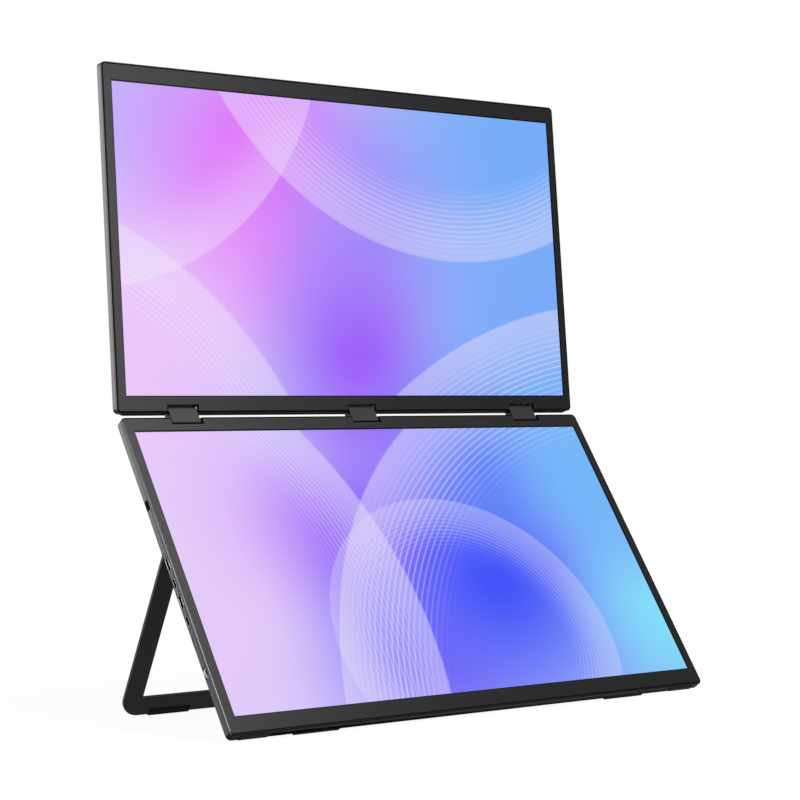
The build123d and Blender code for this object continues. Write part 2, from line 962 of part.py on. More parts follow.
def screw(frame, x, y, depth, head_radius, head_height, shank_radius, length, facing=1):
    """A screw with its head's seat at a depth; facing 1 drives it backwards, -1 forwards."""
    head = sorted((depth, depth - facing * head_height))
    shank = sorted((depth, depth + facing * length))
    posts(frame, [(x, y)], head_radius, head)
    posts(frame, [(x, y)], shank_radius, shank)


def make_screws(frame, side):
    """Screws of the hinge brackets, and the screws that close the case from behind."""
    depth = leaf_depth
    length = panel_thickness - screw_skin - screw_tip_gap - leaf_depth
    with BuildPart() as hinge_screws:
        for offset in link_offsets:
            for x, y in bracket_screw_spots():
                screw(
                    frame, offset + x, y, depth,
                    small_head_radius, small_head_height, small_shank_radius, length,
                )
    save(hinge_screws, side + "_hinge_screws")
    with BuildPart() as case_screws:
        for x, y in case_screw_spots():
            screw(
                frame, x, y, case_screw_seat,
                tiny_head_radius, tiny_head_height, tiny_shank_radius,
                case_screw_seat - lip_thickness - 2 * screw_tip_gap, facing=-1,
            )
    save(case_screws, side + "_case_screws")


def link_section(x_from, x_to, mode=Mode.ADD):
    """The rounded side profile of a link, drawn along the hinge."""
    with BuildSketch(side_plane(link, x_from, axis_distance / 2, 0)) as outline:
        RectangleRounded(axis_distance + 2 * link_overhang, link_thickness, link_edge_radius)
    extrude(outline.sketch, amount=x_to - x_from, mode=mode)


def make_link(offset, name):
    """One link: a block with two cross bores, knuckles and a pocket open to the back."""
    with BuildPart() as block_part:
        link_section(offset - link_width / 2, offset + link_width / 2)
        if offset:
            for y in (0, axis_distance):
                rod(
                    link, offset - link_width / 2, offset - link_width / 2 + knuckle_width,
                    y, 0, link_back, sides=0,
                )
        block(
            link,
            (offset - pocket_half, offset + pocket_half),
            pocket_ends,
            (link_pocket_top, link_back + overcut),
            mode=Mode.SUBTRACT,
        )
        spots = [(offset - link_screw_offset, axis_distance / 2)]
        spots += [(offset + link_screw_offset, axis_distance / 2)]
        posts(link, spots, link_boss_radius, (link_pocket_top, link_back - link_cover_thickness))
        posts(
            link,
            spots,
            tiny_shank_radius + shank_clearance,
            (link_pocket_top + link_screw_floor, link_back),
            mode=Mode.SUBTRACT,
        )
        bore = (pin_radius if offset else hollow_pin_radius) + running_clearance
        for y in (0, axis_distance):
            rod(
                link, offset - link_width / 2, offset - pocket_half, y, 0, bore,
                mode=Mode.SUBTRACT,
            )
            rod(
                link, offset + pocket_half, offset + link_width / 2, y, 0, bore,
                mode=Mode.SUBTRACT,
            )
    save(block_part, name)


def make_link_covers():
    """Rear covers of the links and the screws that hold them."""
    seat = link_back - tiny_head_height
    with BuildPart() as covers:
        for offset in link_offsets:
            block(
                link,
                (offset - pocket_half + link_cover_gap, offset + pocket_half - link_cover_gap),
                (pocket_ends[0] + link_cover_gap, pocket_ends[1] - link_cover_gap),
                (link_back - link_cover_thickness, link_back),
            )
        spots = [(x, axis_distance / 2) for x in link_screw_spots]
        posts(link, spots, tiny_head_radius + shank_clearance, (seat, link_back + overcut),
              mode=Mode.SUBTRACT)
        posts(link, spots, tiny_shank_radius + shank_clearance, (seat - overcut, link_back),
              mode=Mode.SUBTRACT)
    save(covers, "hinge_link_covers")
    with BuildPart() as screws:
        for x in link_screw_spots:
            screw(
                link, x, axis_distance / 2, seat,
                tiny_head_radius, tiny_head_height, tiny_shank_radius, link_screw_length, facing=-1,
            )
    save(screws, "hinge_link_screws")


def make_clips():
    """Friction clips that grip the pins of the two outer links."""
    inner = pin_radius + running_clearance
    outer = inner + clip_thickness
    with BuildPart() as clips:
        for offset in (link_offsets[0], link_offsets[-1]):
            for y, side in ((0, 1), (axis_distance, -1)):
                xs = (offset - clip_width / 2, offset + clip_width / 2)
                rod(link, xs[0], xs[1], y, 0, outer)
                tail = sorted((y + side * clip_tail, y + side * outer))
                block(link, xs, tail, (link_pocket_top, 0))
                rod(link, xs[0], xs[1], y, 0, inner, mode=Mode.SUBTRACT)
                block(
                    link,
                    xs,
                    (y - clip_slit / 2, y + clip_slit / 2),
                    (0, outer + overcut),
                    mode=Mode.SUBTRACT,
                )
    save(clips, "hinge_friction_clips")


def make_cable(frame, points, depth, radii, name):
    """A held, hidden cable on straight runs and tangent arcs, at one depth behind a face."""
    path_points = [frame.from_local_coords((x, y, -depth)) for x, y in points]
    with BuildPart() as cable:
        with BuildLine() as route:
            FilletPolyline(*path_points, radius=radii)
        start = Plane(origin=route.line @ 0, z_dir=route.line % 0)
        with BuildSketch(start):
            RegularPolygon(cable_radius, cable_sides)
        sweep()
    save(cable, name)


def cut_at_floor():
    """Cut what stands on the floor flat, as rubber presses flat under the object."""
    with BuildSketch(Plane.XY) as floor_area:
        Rectangle(4 * half_width, 4 * half_width)
    extrude(floor_area.sketch, amount=-floor_cut_depth, mode=Mode.SUBTRACT)


def make_stand():
    """U-shaped stand: a flat bar with rounded outer corners, knuckle ends and pad seats."""
    half = stand_thickness / 2
    with BuildPart() as frame_part:
        with BuildSketch(stand.offset(-half)) as outline:
            with Locations((0, stand_reach / 2)):
                Rectangle(2 * stand_half_width, stand_reach)
            fillet(outline.vertices().group_by(Axis(stand.origin, stand.y_dir))[-1],
                   stand_corner_outer)
        extrude(outline.sketch, amount=stand_thickness)
        flats = frame_part.faces().filter_by(Axis(stand.origin, stand.z_dir))
        chamfer(flats.edges(), stand_edge_bevel)
        with BuildSketch(stand.offset(-half - overcut)) as window:
            with Locations((0, (stand_reach - stand_bar - overcut) / 2)):
                Rectangle(2 * stand_inner, stand_reach - stand_bar + overcut)
            fillet(window.vertices().group_by(Axis(stand.origin, stand.y_dir))[-1],
                   stand_corner_inner)
        extrude(window.sketch, amount=stand_thickness + 2 * overcut, mode=Mode.SUBTRACT)
        for side in (-1, 1):
            xs = sorted((side * stand_inner, side * stand_half_width))
            rod(stand, xs[0], xs[1], 0, 0, half, sides=0)
            bore = sorted((side * (stand_inner - overcut), side * (stand_inner + stand_pin_reach)))
            rod(stand, bore[0], bore[1], 0, 0, stand_pin_radius + running_clearance,
                mode=Mode.SUBTRACT)
            xs = (side * pad_offset - pad_length / 2, side * pad_offset + pad_length / 2)
            pad_from = stand_reach + pad_overhang - pad_height
            block(stand, xs, (pad_from, stand_reach + overcut), (-half - overcut, -half + pad_recess),
                  mode=Mode.SUBTRACT)
            block(stand, xs, (stand_reach - pad_recess, stand_reach + overcut),
                  (-half - overcut, half - pad_back_step), mode=Mode.SUBTRACT)
    save(frame_part, "stand_frame")
    with BuildPart() as pads:
        for side in (-1, 1):
            xs = (side * pad_offset - pad_length / 2, side * pad_offset + pad_length / 2)
            pad_from = stand_reach + pad_overhang - pad_height
            pad_to = stand_reach + pad_overhang
            block(stand, xs, (pad_from, pad_to), (-half - pad_proud, -half + pad_recess))
            block(stand, xs, (stand_reach - pad_recess, pad_to),
                  (-half - pad_proud, half - pad_back_step))
        tips = pads.edges().filter_by(Axis(stand.origin, stand.x_dir))
        tips = tips.group_by(Axis(stand.origin, stand.y_dir))[-1]
        fillet(tips.group_by(Axis(stand.origin, stand.z_dir))[-1], pad_overhang - contact_flat)
        cut_at_floor()
    save(pads, "stand_pads")


def make_stand_hinges():
    """Bracket blocks, pins and screws that carry the stand on the lower back cover."""
    seat = plateau_depth - small_head_height - stand_screw_sink
    for side, name in ((1, left), (-1, right)):
        xs = sorted((side * (bracket_inner + hinge_seat_gap), side * bracket_outer))
        ys = (
            stand_pivot_at - stand_bracket_height / 2 + hinge_seat_gap,
            stand_pivot_at + stand_bracket_height / 2 - hinge_seat_gap,
        )
        spots = [spot for spot in stand_screw_spots() if spot[0] * side > 0]
        with BuildPart() as bracket:
            block(lower, xs, ys, (panel_thickness, plateau_depth))
            rod(lower, xs[0] - overcut, xs[1] + overcut, stand_pivot_at, stand_pivot_depth,
                stand_pin_radius, mode=Mode.SUBTRACT)
            block(lower, xs, (stand_pivot_at - stand_slit / 2, stand_pivot_at + stand_slit / 2),
                  (stand_pivot_depth, plateau_depth + overcut), mode=Mode.SUBTRACT)
            posts(lower, spots, small_shank_radius + shank_clearance,
                  (panel_thickness - overcut, plateau_depth + overcut), mode=Mode.SUBTRACT)
            posts(lower, spots, small_head_radius + shank_clearance,
                  (seat, plateau_depth + overcut), mode=Mode.SUBTRACT)
        save(bracket, "stand_bracket_" + name)
    with BuildPart() as pins:
        for side in (-1, 1):
            inner = bracket_inner + stand_pin_inset
            outer = stand_inner + stand_pin_reach - stand_pin_end_gap
            reach = sorted((side * inner, side * outer))
            rod(lower, reach[0], reach[1], stand_pivot_at, stand_pivot_depth, stand_pin_radius)
    save(pins, "stand_pins")
    with BuildPart() as screws:
        for x, y in stand_screw_spots():
            screw(lower, x, y, seat, small_head_radius, small_head_height, small_shank_radius,
                  seat - stand_boss_depth - screw_skin - screw_tip_gap, facing=-1)
    save(screws, "stand_bracket_screws")


def make_feet():
    """Rubber feet of the lower panel: two in the bottom wall, two on the rear edge."""
    with BuildPart() as front_feet:
        for x in foot_spots(front_foot_offset):
            block(lower, (x - front_foot_length / 2, x + front_foot_length / 2),
                  (far_at - foot_recess, far_at + front_foot_proud),
                  (front_foot_start, front_foot_start + front_foot_height))
        tips = front_feet.faces().sort_by(Axis(lower.origin, lower.y_dir))[-2:]
        chamfer(tips.edges(), front_foot_proud - contact_flat)
    save(front_feet, "front_feet")
    ys, depths = rear_foot_profile(1)
    with BuildPart() as rear_feet:
        for x in foot_spots(rear_foot_offset):
            block(lower, (x - rear_foot_length / 2, x + rear_foot_length / 2), ys, depths)
        edges = rear_feet.edges().filter_by(Axis(lower.origin, lower.x_dir))
        edges = edges.group_by(Axis(lower.origin, lower.y_dir))[-1]
        fillet(edges.group_by(Axis(lower.origin, lower.z_dir))[0], rear_foot_proud)
        cut_at_floor()
    save(rear_feet, "rear_feet")


def wall_socket(at, name, width, height, length, tongue_width, tongue_height, bevel, inner_bevel):
    """A socket shell in the left wall: a bent sheet round a thin tongue, open outwards."""
    mouth = side_plane(lower, half_width - socket_inset, active_end - at, wall_line_depth)
    outer = opening_outline(mouth, width, height, bevel)
    inner = opening_outline(mouth, width - 2 * socket_shell, height - 2 * socket_shell, inner_bevel)
    with BuildPart() as socket:
        extrude(outer, amount=-length)
        extrude(inner, amount=-(length - socket_back), mode=Mode.SUBTRACT)
        with BuildSketch(mouth.offset(-length + socket_back / 2)) as tongue:
            Rectangle(tongue_width, tongue_height)
        extrude(tongue.sketch, amount=length - socket_back / 2 - tongue_setback)
        y = active_end - at
        tab_from = half_width - length + socket_tab_setback
        for side in (-1, 1):
            ys = sorted((y + side * (width / 2 - socket_shell), y + side * (width / 2 + socket_tab[1])))
            block(lower, (tab_from, tab_from + socket_tab[0]), ys,
                  (board_depth - socket_tab[2], board_depth))
    save(socket, name)


def make_sockets():
    """The four sockets of the left wall, all carried by the main board."""
    for number, at in enumerate(usb_c_spots, 1):
        wall_socket(at, f"usb_c_socket_{number}", usb_c_width, usb_c_height, usb_c_length,
                    usb_c_tongue_width, usb_c_tongue, 0.0, usb_c_inner_bevel)
    for number, at in enumerate(micro_hdmi_spots, 1):
        wall_socket(at, f"micro_hdmi_socket_{number}", micro_hdmi_width, micro_hdmi_height,
                    micro_hdmi_length, micro_hdmi_tongue_width, micro_hdmi_tongue,
                    micro_hdmi_bevel, micro_hdmi_bevel)


def board_cut(at, half_length, reach):
    """A notch in the main board's edge, round what stands in it."""
    y = active_end - at
    block(lower, (half_width - reach, board_right + overcut), (y - half_length, y + half_length),
          (board_depth - overcut, board_back + overcut), mode=Mode.SUBTRACT)


def make_board():
    """Main board, notched round the sockets, with its components, connector and screws."""
    with BuildPart() as board:
        block(lower, (board_left, board_right), (board_low, board_high), (board_depth, board_back))
        for at in usb_c_spots:
            board_cut(at, usb_c_width / 2 + socket_gap, usb_c_length + socket_inset + socket_gap)
        for at in micro_hdmi_spots:
            board_cut(at, micro_hdmi_width / 2 + socket_gap,
                      micro_hdmi_length + socket_inset + socket_gap)
        switch_back = half_width - switch_front + switch_size[0] + socket_gap
        board_cut(power_button_at, switch_size[1] / 2 + socket_gap, switch_back)
        flange_half = power_button_length / 2 + button_flange_margin + button_travel
        board_cut(power_button_at, flange_half, half_width - switch_front)
        board_cut(wheel_at, wheel_radius + wheel_gap, half_width - wheel_room)
        posts(lower, board_screw_spots(), small_shank_radius + shank_clearance,
              (board_depth - overcut, board_back + overcut), mode=Mode.SUBTRACT)
    save(board, "main_board")
    with BuildPart() as components:
        for right_step, down_step, size, height in board_parts:
            x = board_left + right_step
            y = board_low + down_step
            block(lower, (x - size / 2, x + size / 2), (y - size / 2, y + size / 2),
                  (board_back, board_back + height))
        block(lower, (connector_left, connector_left + connector_width),
              (board_low - connector_length, board_low),
              (board_depth - connector_rise, board_back + connector_drop))
    save(components, "board_components")
    with BuildPart() as screws:
        for x, y in board_screw_spots():
            screw(lower, x, y, board_depth, small_head_radius, small_head_height,
                  small_shank_radius, board_thickness + board_screw_grip)
    save(screws, "board_screws")
    y = board_low + flat_cable_at
    x = driver_chips[-1][0]
    half = flat_cable_width / 2
    with BuildPart() as flat_cable:
        block(lower, (x - half, board_left + half), (y - half, y + half),
              (board_depth - flat_cable_thickness, board_depth))
        block(lower, (x - half, x + half), (y - half, driver_board_at + driver_chip_margin),
              (board_depth - flat_cable_thickness, board_depth))
    save(flat_cable, "display_flat_cable")


def make_button():
    """Power button with its flange and stem, and the small switch behind it."""
    y = active_end - power_button_at
    face = half_width - power_button_inset
    flange_front = button_back - button_flange
    stem_length, stem_width, stem_height = button_stem
    with BuildPart() as button:
        with BuildSketch(side_plane(lower, face, y, wall_line_depth)) as cap:
            SlotOverall(power_button_length, power_button_height)
        extrude(cap.sketch, amount=-(face - flange_front))
        reach = power_button_length / 2 + button_flange_margin
        block(lower, (flange_front, button_back), (y - reach, y + reach),
              (wall_line_depth - button_flange_height / 2, wall_line_depth + button_flange_height / 2))
        block(lower, (flange_front - stem_length, flange_front),
              (y - stem_width / 2, y + stem_width / 2),
              (wall_line_depth - stem_height / 2, wall_line_depth + stem_height / 2))
    save(button, "power_button")
    length, width, height = switch_size
    lug_length, lug_width, lug_thickness = switch_lug
    with BuildPart() as switch:
        block(lower, (switch_front - length, switch_front), (y - width / 2, y + width / 2),
              (wall_line_depth - height / 2, wall_line_depth + height / 2))
        for side in (-1, 1):
            ys = sorted((y + side * (width / 2 - socket_gap), y + side * (width / 2 + lug_width)))
            block(lower, (switch_front - length, switch_front - length + lug_length), ys,
                  (board_depth - lug_thickness, board_depth))
    save(switch, "power_switch")


def make_wheel():
    """Roller wheel, the sliding carriage that holds its axle, and the switch behind them."""
    wheel_bottom = wheel_top + wheel_thickness
    carriage_top = wheel_bottom + carriage_gap
    carriage_bottom = floor_depth - carriage_gap
    with BuildPart() as wheel:
        with BuildSketch(lower.offset(-wheel_bottom)) as outline:
            with Locations((wheel_x, wheel_y)):
                Circle(wheel_radius)
                RegularPolygon(wheel_axle_radius + running_clearance, pin_sides, mode=Mode.SUBTRACT)
                with PolarLocations(wheel_radius, wheel_ribs):
                    Rectangle(wheel_rib_size, wheel_rib_size, rotation=45, mode=Mode.SUBTRACT)
        extrude(outline.sketch, amount=wheel_thickness)
    save(wheel, "roller_wheel")
    with BuildPart() as carriage:
        block(lower, (carriage_end, wheel_x + carriage_front),
              (wheel_y - carriage_width / 2, wheel_y + carriage_width / 2),
              (carriage_top, carriage_bottom))
        posts(lower, [(wheel_x, wheel_y)], wheel_axle_radius, (wheel_top, carriage_top),
              sides=pin_sides)
    save(carriage, "wheel_carriage")
    switch_face = carriage_end - wheel_travel - wheel_switch_gap
    with BuildPart() as switch:
        block(lower, (switch_face - wheel_switch_size[0], switch_face),
              (wheel_y - wheel_switch_size[1] / 2, wheel_y + wheel_switch_size[1] / 2),
              (board_back, carriage_bottom))
    save(switch, "wheel_switch")


def make_speakers():
    """Two flat speakers behind the sound slots of the lower back cover."""
    for side, name in ((1, left), (-1, right)):
        x = side * speaker_offset
        with BuildPart() as speaker:
            block(lower, (x - speaker_length / 2, x + speaker_length / 2),
                  (speaker_y - speaker_width / 2, speaker_y + speaker_width / 2),
                  (deep_floor - speaker_height, deep_floor))
            with BuildSketch(lower.offset(-deep_floor)) as cone:
                with Locations((x, speaker_y)):
                    Rectangle(speaker_length - 2 * speaker_rim, speaker_width - 2 * speaker_rim)
            extrude(cone.sketch, amount=speaker_cone_depth, mode=Mode.SUBTRACT)
        save(speaker, "speaker_" + name)


make_upper_cover(upper)
make_lower_cover(lower)
for body, frame in (("lower", lower), ("upper", upper)):
    make_bezel(frame, body)
    make_display(frame, body)
    make_driver_board(frame, body)
    sides = (right, middle, left) if body == "lower" else (left, middle, right)
    for offset, side in zip(link_offsets, sides):
        make_bracket(frame, offset, f"{body}_hinge_bracket_{side}")
    make_pins(frame, body)
    make_screws(frame, body)
for offset, side in zip(link_offsets, (left, middle, right)):
    make_link(offset, f"hinge_link_{side}")
make_link_covers()
make_clips()
bridge_end = axis_distance / 2
make_cable(
    link,
    [(-hub_end, 0), (-bridge_end, 0), (bridge_end, axis_distance), (hub_end, axis_distance)],
    0,
    [cable_bend, cable_bend],
    "hinge_cable",
)
make_cable(
    lower,
    [
        (hub_end, 0),
        (cable_turn, 0),
        (cable_turn, lower_cable_run),
        (connector_x, board_low - lower_cable_drop),
        (connector_x, board_low - connector_length),
    ],
    axis_depth,
    list(lower_cable_bends),
    "lower_cable",
)
make_cable(
    upper,
    [
        (hub_end, 0),
        (cable_turn, 0),
        (cable_turn, upper_cable_run),
        (driver_chips[2][0], upper_cable_turn),
        (driver_chips[2][0], driver_board_at + driver_chip_margin),
    ],
    axis_depth,
    list(upper_cable_bends),
    "upper_cable",
)
make_stand()
make_stand_hinges()
make_feet()
make_sockets()
make_board()
make_button()
make_wheel()
make_speakers()
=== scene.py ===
import json
import math

import bmesh
import bpy
from mathutils import Matrix, Vector


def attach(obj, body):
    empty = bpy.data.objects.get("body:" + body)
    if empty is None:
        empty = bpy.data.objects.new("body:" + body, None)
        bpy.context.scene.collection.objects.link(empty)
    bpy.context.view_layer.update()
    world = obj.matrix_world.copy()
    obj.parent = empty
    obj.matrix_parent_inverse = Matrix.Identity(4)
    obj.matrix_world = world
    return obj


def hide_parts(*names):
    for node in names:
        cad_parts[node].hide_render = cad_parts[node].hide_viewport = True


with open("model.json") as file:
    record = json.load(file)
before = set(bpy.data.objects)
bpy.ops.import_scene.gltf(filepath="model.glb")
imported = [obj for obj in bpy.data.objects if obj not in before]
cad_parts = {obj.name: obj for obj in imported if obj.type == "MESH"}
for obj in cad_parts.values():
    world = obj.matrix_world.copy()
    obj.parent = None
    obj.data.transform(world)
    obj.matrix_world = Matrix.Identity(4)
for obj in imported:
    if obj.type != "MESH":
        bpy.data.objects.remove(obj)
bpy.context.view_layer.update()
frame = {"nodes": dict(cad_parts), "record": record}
nodes = frame["nodes"]
record = frame["record"]
body_of = {node: body for body, held in record["behaviour"]["bodies"].items() for node in held}
slot_of = {part["node"]: part["material_slot"] for part in record["subparts"]}
scene = bpy.context.scene
mm = 0.001

# Camera, at the photograph's view: where it stands, how it is turned, its lens on a 36 mm sensor, and
# how near and how far it sees
eye = Vector((-0.77198, -1.05570, 0.17673))
camera_azimuth = -35.934
camera_elevation = -0.568
camera_roll = -0.552
camera_lens = 93.74
camera_sensor = 36.0
camera_reach = (0.05, 30.0)

# Stage: the floor, how white it reads beside the object, and where its shadow has faded
floor_half = 12.0
floor_white = 0.93
floor_roughness = 0.9
shadow_reach = (0.2, 0.8)
world_light = 0.3
# The floor's tone in what it throws on the object, and in what the camera sees
floor_thrown = "#BEBEBE"
floor_seen = "#FBFBFB"
# Lamps: place, what they face, size and power. The first two are mirrored in the left ends of the
# upright and the leaning face, the third in the left wall, the last in the leaning face's left edge
lamps = (
    ("upper_face_lamp", (0.55, -1.75, 0.75), (-0.1, 0, 0.3), (0.6, 0.9), 42.0),
    ("lower_face_lamp", (0.5, -0.75, 1.8), (-0.1, 0, 0.1), (0.6, 0.9), 42.0),
    ("side_lamp", (-1.25, 1.7, 0.6), (0, 0, 0.2), (1.0, 1.2), 22.0),
    ("edge_lamp", (-1.18, -0.33, 0.84), (-0.17, -0.07, 0.05), (0.5, 0.4), 9.0),
)

# Grain of every finish: patches of its slow change of tone, detail of both noises, and its relief
tone_patch = 18 * mm
tone_detail = 3.0
grain_detail = 4.0
grain_relief = 0.35

# Bezels: how strongly they mirror, and the painted shade line along their outline: its width and dull
# black tone, with no gloss
bezel_gloss = 0.078
shade_line_width = 1.5 * mm
painted_shade_tone = "#050506"

# Displays: the glass's hidden borders, the dark line round the lit area, the glass over it, and how
# bright the picture is
glass_border = 2.0 * mm
glass_far_ledge = 6.0 * mm
dark_border = 0.7 * mm
dark_glass = "#050507"
glass_roughness = 0.32
glass_ior = 1.5
glass_gloss = 0.03
screen_glow = 0.93

# Picture over both displays, in screen widths: how much higher the upper one starts, and the tones of
# its left and right side
picture_rise = 9 / 16
picture_sides = ("#E2CCFF", "#86B6FF")
# Soft patches: centre across and up, radius, strength, colour
picture_patches = (
    ((0.02, 1.10), 0.52, 1.0, "#C6B0FF"),
    ((0.31, 1.00), 0.36, 1.0, "#E569FF"),
    ((0.22, 0.82), 0.30, 0.8, "#E88CFF"),
    ((0.02, 0.66), 0.36, 1.0, "#F0C8FF"),
    ((0.56, 0.90), 0.34, 0.9, "#A488FF"),
    ((0.50, 0.64), 0.32, 1.0, "#A060FF"),
    ((0.94, 1.04), 0.52, 1.0, "#78B0FF"),
    ((0.92, 0.68), 0.38, 1.0, "#7CAEFF"),
    ((0.00, 0.22), 0.44, 1.0, "#E8CCFC"),
    ((0.24, 0.36), 0.26, 0.6, "#DCA8FF"),
    ((0.40, 0.32), 0.30, 1.0, "#9D5CFF"),
    ((0.42, 0.06), 0.34, 1.0, "#8070FF"),
    ((0.64, 0.22), 0.42, 1.0, "#3C50FF"),
    ((0.72, 0.46), 0.26, 0.8, "#5680FF"),
    ((1.02, 0.12), 0.28, 1.0, "#84E4FF"),
    ((0.98, 0.42), 0.28, 1.0, "#74BCFF"),
)
# Translucent discs: centre, radius, width of the bright rim, strength; and how soft their outer edge is
picture_discs = (
    ((1.15, -0.20), 0.95, 0.16, 0.34),
    ((-0.35, 0.15), 0.80, 0.14, 0.34),
    ((0.75, 1.45), 0.62, 0.16, 0.30),
    ((-0.10, 1.30), 0.55, 0.14, 0.30),
    ((0.55, 0.10), 0.30, 0.10, 0.22),
)
disc_tone = "#F6EEFF"
disc_edge = 0.004
# Fine rings: centre, spacing, inner and outer radius, strength; and where on its wave a ring starts
picture_rings = (
    ((1.15, -0.20), 0.011, 0.72, 0.96, 0.34),
    ((-0.35, 0.15), 0.009, 0.62, 0.82, 0.28),
    ((0.75, 1.45), 0.010, 0.46, 0.64, 0.28),
    ((0.55, 0.10), 0.008, 0.18, 0.30, 0.20),
)
ring_tone = "#FBF6FF"
ring_start = 0.35

# How the CAD shapes are made whole, which of their edges are rounded and in how many steps, how long a
# mouth's edge can be, and how far a face's direction leans to the front when it looks there
weld_distance = 0.001 * mm
flat_angle = math.radians(0.4)
smooth_angle = math.radians(32)
bevel_turn = (35, 55)
square_turn = (70, 110)
round_steps = 3
longest_mouth = 10.0 * mm
front_lean = 0.1

# Shells, frames and soft feet that get real rounded edges: the rounding of bevels and of square rims,
# and the least face, in square millimetres, that a rounded square rim lies beside
rounded_nodes = (
    ("upper_front_bezel", 0.38, 0.12, 60),
    ("lower_front_bezel", 0.38, 0.12, 60),
    ("upper_back_cover", 0.38, 0.12, 60),
    ("lower_back_cover", 0.38, 0.16, 60),
    ("stand_frame", 0.22, 0.35, 60),
    ("hinge_link_left", 0.2, 0.16, 20),
    ("hinge_link_middle", 0.2, 0.16, 20),
    ("hinge_link_right", 0.2, 0.16, 20),
    ("hinge_link_covers", 0.1, 0.1, 20),
    ("stand_bracket_left", 0.2, 0.3, 20),
    ("stand_bracket_right", 0.2, 0.3, 20),
    ("front_feet", 0.12, 0.2, 0),
    ("rear_feet", 0.2, 0.35, 0),
    ("stand_pads", 0.2, 0.3, 0),
    ("power_button", 0.3, 0.3, 8),
)

# Outline corners of the panels: the CAD's radius, the photograph's, and how deep the outer skin is
cad_corner = 5.0 * mm
photo_corner = 3.2 * mm
corner_skin = 1.0 * mm

# Trims: how wide a bezel's rim is, how near the outline a cover's walls lie, and how much of a face's
# direction makes it part of the flat front, a side wall, a side's chamfer, a long wall or a link's plate
rim_width = 0.8 * mm
wall_reach = 3.2 * mm
front_share = 0.97
side_share = 0.9
chamfer_share = 0.3
long_wall_share = 0.25
plate_share = 0.93

# Hinge side of the panels: the pins' place in a panel, the links' places, and the half-round barrel
axis_inset = 1.5 * mm
axis_depth = 3.9 * mm
link_offsets = (-133.0 * mm, 0.0, 133.0 * mm)
notch_half = 11.0 * mm
barrel_radius = 2.6 * mm
barrel_wall = 0.5 * mm
barrel_start = 1.45 * mm
barrel_end = 3.6 * mm
barrel_break = 11.4 * mm
barrel_taper = 2.4 * mm
barrel_round = 0.3 * mm
barrel_least = 0.02
barrel_steps = 20
barrel_end_steps = 6

# Lip behind a notch: how far from the pins' line it starts and ends, away from the edge and back
lip_low = 2.65 * mm
lip_high = 3.95 * mm
lip_near = 2.5 * mm
lip_far = 3.0 * mm
lip_round = 0.1 * mm
lip_round_steps = 2

# Screws: the node, how far their heads lie under the surface, and the radius of the cup they sit in
screw_sets = (
    ("upper_case_screws", 0.3 * mm, 1.2 * mm),
    ("lower_case_screws", 0.3 * mm, 1.2 * mm),
    ("hinge_link_screws", 0.0, 1.2 * mm),
    ("stand_bracket_screws", 0.2 * mm, 1.95 * mm),
)
head_layer = 0.01 * mm
cup_sides = 36
cup_depth = 0.3 * mm
cup_sink = 0.03 * mm
recess_share = 0.38
# From the cup's rim inwards: how far each step rises, and how far its face is drawn in
screw_steps = {
    "Ledge": (0.0, 0.8),
    "Floor": (-0.24 * mm, 0.97),
    "Gap": (0.0, 0.97),
    "Head": (0.12 * mm, 0.98),
    "Crown": (0.036 * mm, 0.9),
    "Flat": (0.0, 0.7),
    "Recess": (-0.25 * mm, 0.92),
}

# Roller wheel: its ribs, their depth and how steep they are, and the plain rim beside them
wheel_sides = 256
wheel_rings = 8
wheel_ribs = 32
wheel_rib_depth = 0.22 * mm
wheel_rib_flank = 0.5
wheel_rim_height = 0.2 * mm
wheel_edge_share = 0.95
# From the wheel's edge inwards: how far each step rises, and how far its face is drawn in
wheel_steps = {
    "Rim": (0.0, 0.86),
    "Dish": (-0.3 * mm, 0.94),
    "Floor": (0.0, 0.42),
    "Hub": (0.24 * mm, 0.9),
}

# Sockets of the left wall: the mouth's length and height, its corners' bevel, the tongue's length and
# height, and the contacts on each of its sides
socket_kinds = (
    ("usb_c_socket", (8.94 * mm, 3.26 * mm), 0.0, (6.7 * mm, 0.7 * mm), 12),
    ("micro_hdmi_socket", (6.7 * mm, 3.0 * mm), 0.7 * mm, (4.6 * mm, 0.6 * mm), 10),
)
socket_sheet = 0.3 * mm
socket_depth = 6.8 * mm
socket_inset = 0.2 * mm
socket_lip = 0.08 * mm
round_end_steps = 9
tongue_start = 1.0 * mm
tongue_lip = 0.12 * mm
tongue_bevel_share = 0.25
contact_pitch = 0.42 * mm
contact_size = {"Length": 4.0 * mm, "Width": 0.24 * mm, "Height": 0.06 * mm}


def srgb(code):
    """A hex colour as linear red, green, blue and alpha."""
    channels = [int(code[i:i + 2], 16) / 255 for i in (1, 3, 5)]
    linear = [c / 12.92 if c <= 0.04045 else ((c + 0.055) / 1.055) ** 2.4 for c in channels]
    return (*linear, 1.0)


def add(tree, kind, inputs=None, **settings):
    """Adds one node with its settings.

    Inputs gives by name or number a value, a socket to link, or a node whose first output is linked.
    """
    node = tree.nodes.new(kind)
    for name, value in settings.items():
        setattr(node, name, value)
    for key, value in (inputs or {}).items():
        if isinstance(value, bpy.types.Node):
            value = value.outputs[0]
        if isinstance(value, bpy.types.NodeSocket):
            tree.links.new(value, node.inputs[key])
        else:
            node.inputs[key].default_value = value
    return node


def new_object(name, data):
    """An object of some data, in the scene."""
    made = bpy.data.objects.new(name, data)
    scene.collection.objects.link(made)
    return made


def start_material(name):
    """A material with a Principled shader on its output."""
    material = bpy.data.materials.new(name)
    material.use_nodes = True
    tree = material.node_tree
    tree.nodes.clear()
    shader = add(tree, "ShaderNodeBsdfPrincipled")
    add(tree, "ShaderNodeOutputMaterial", {"Surface": shader})
    place = add(tree, "ShaderNodeTexCoord").outputs["Object"]
    return material, tree, shader, place


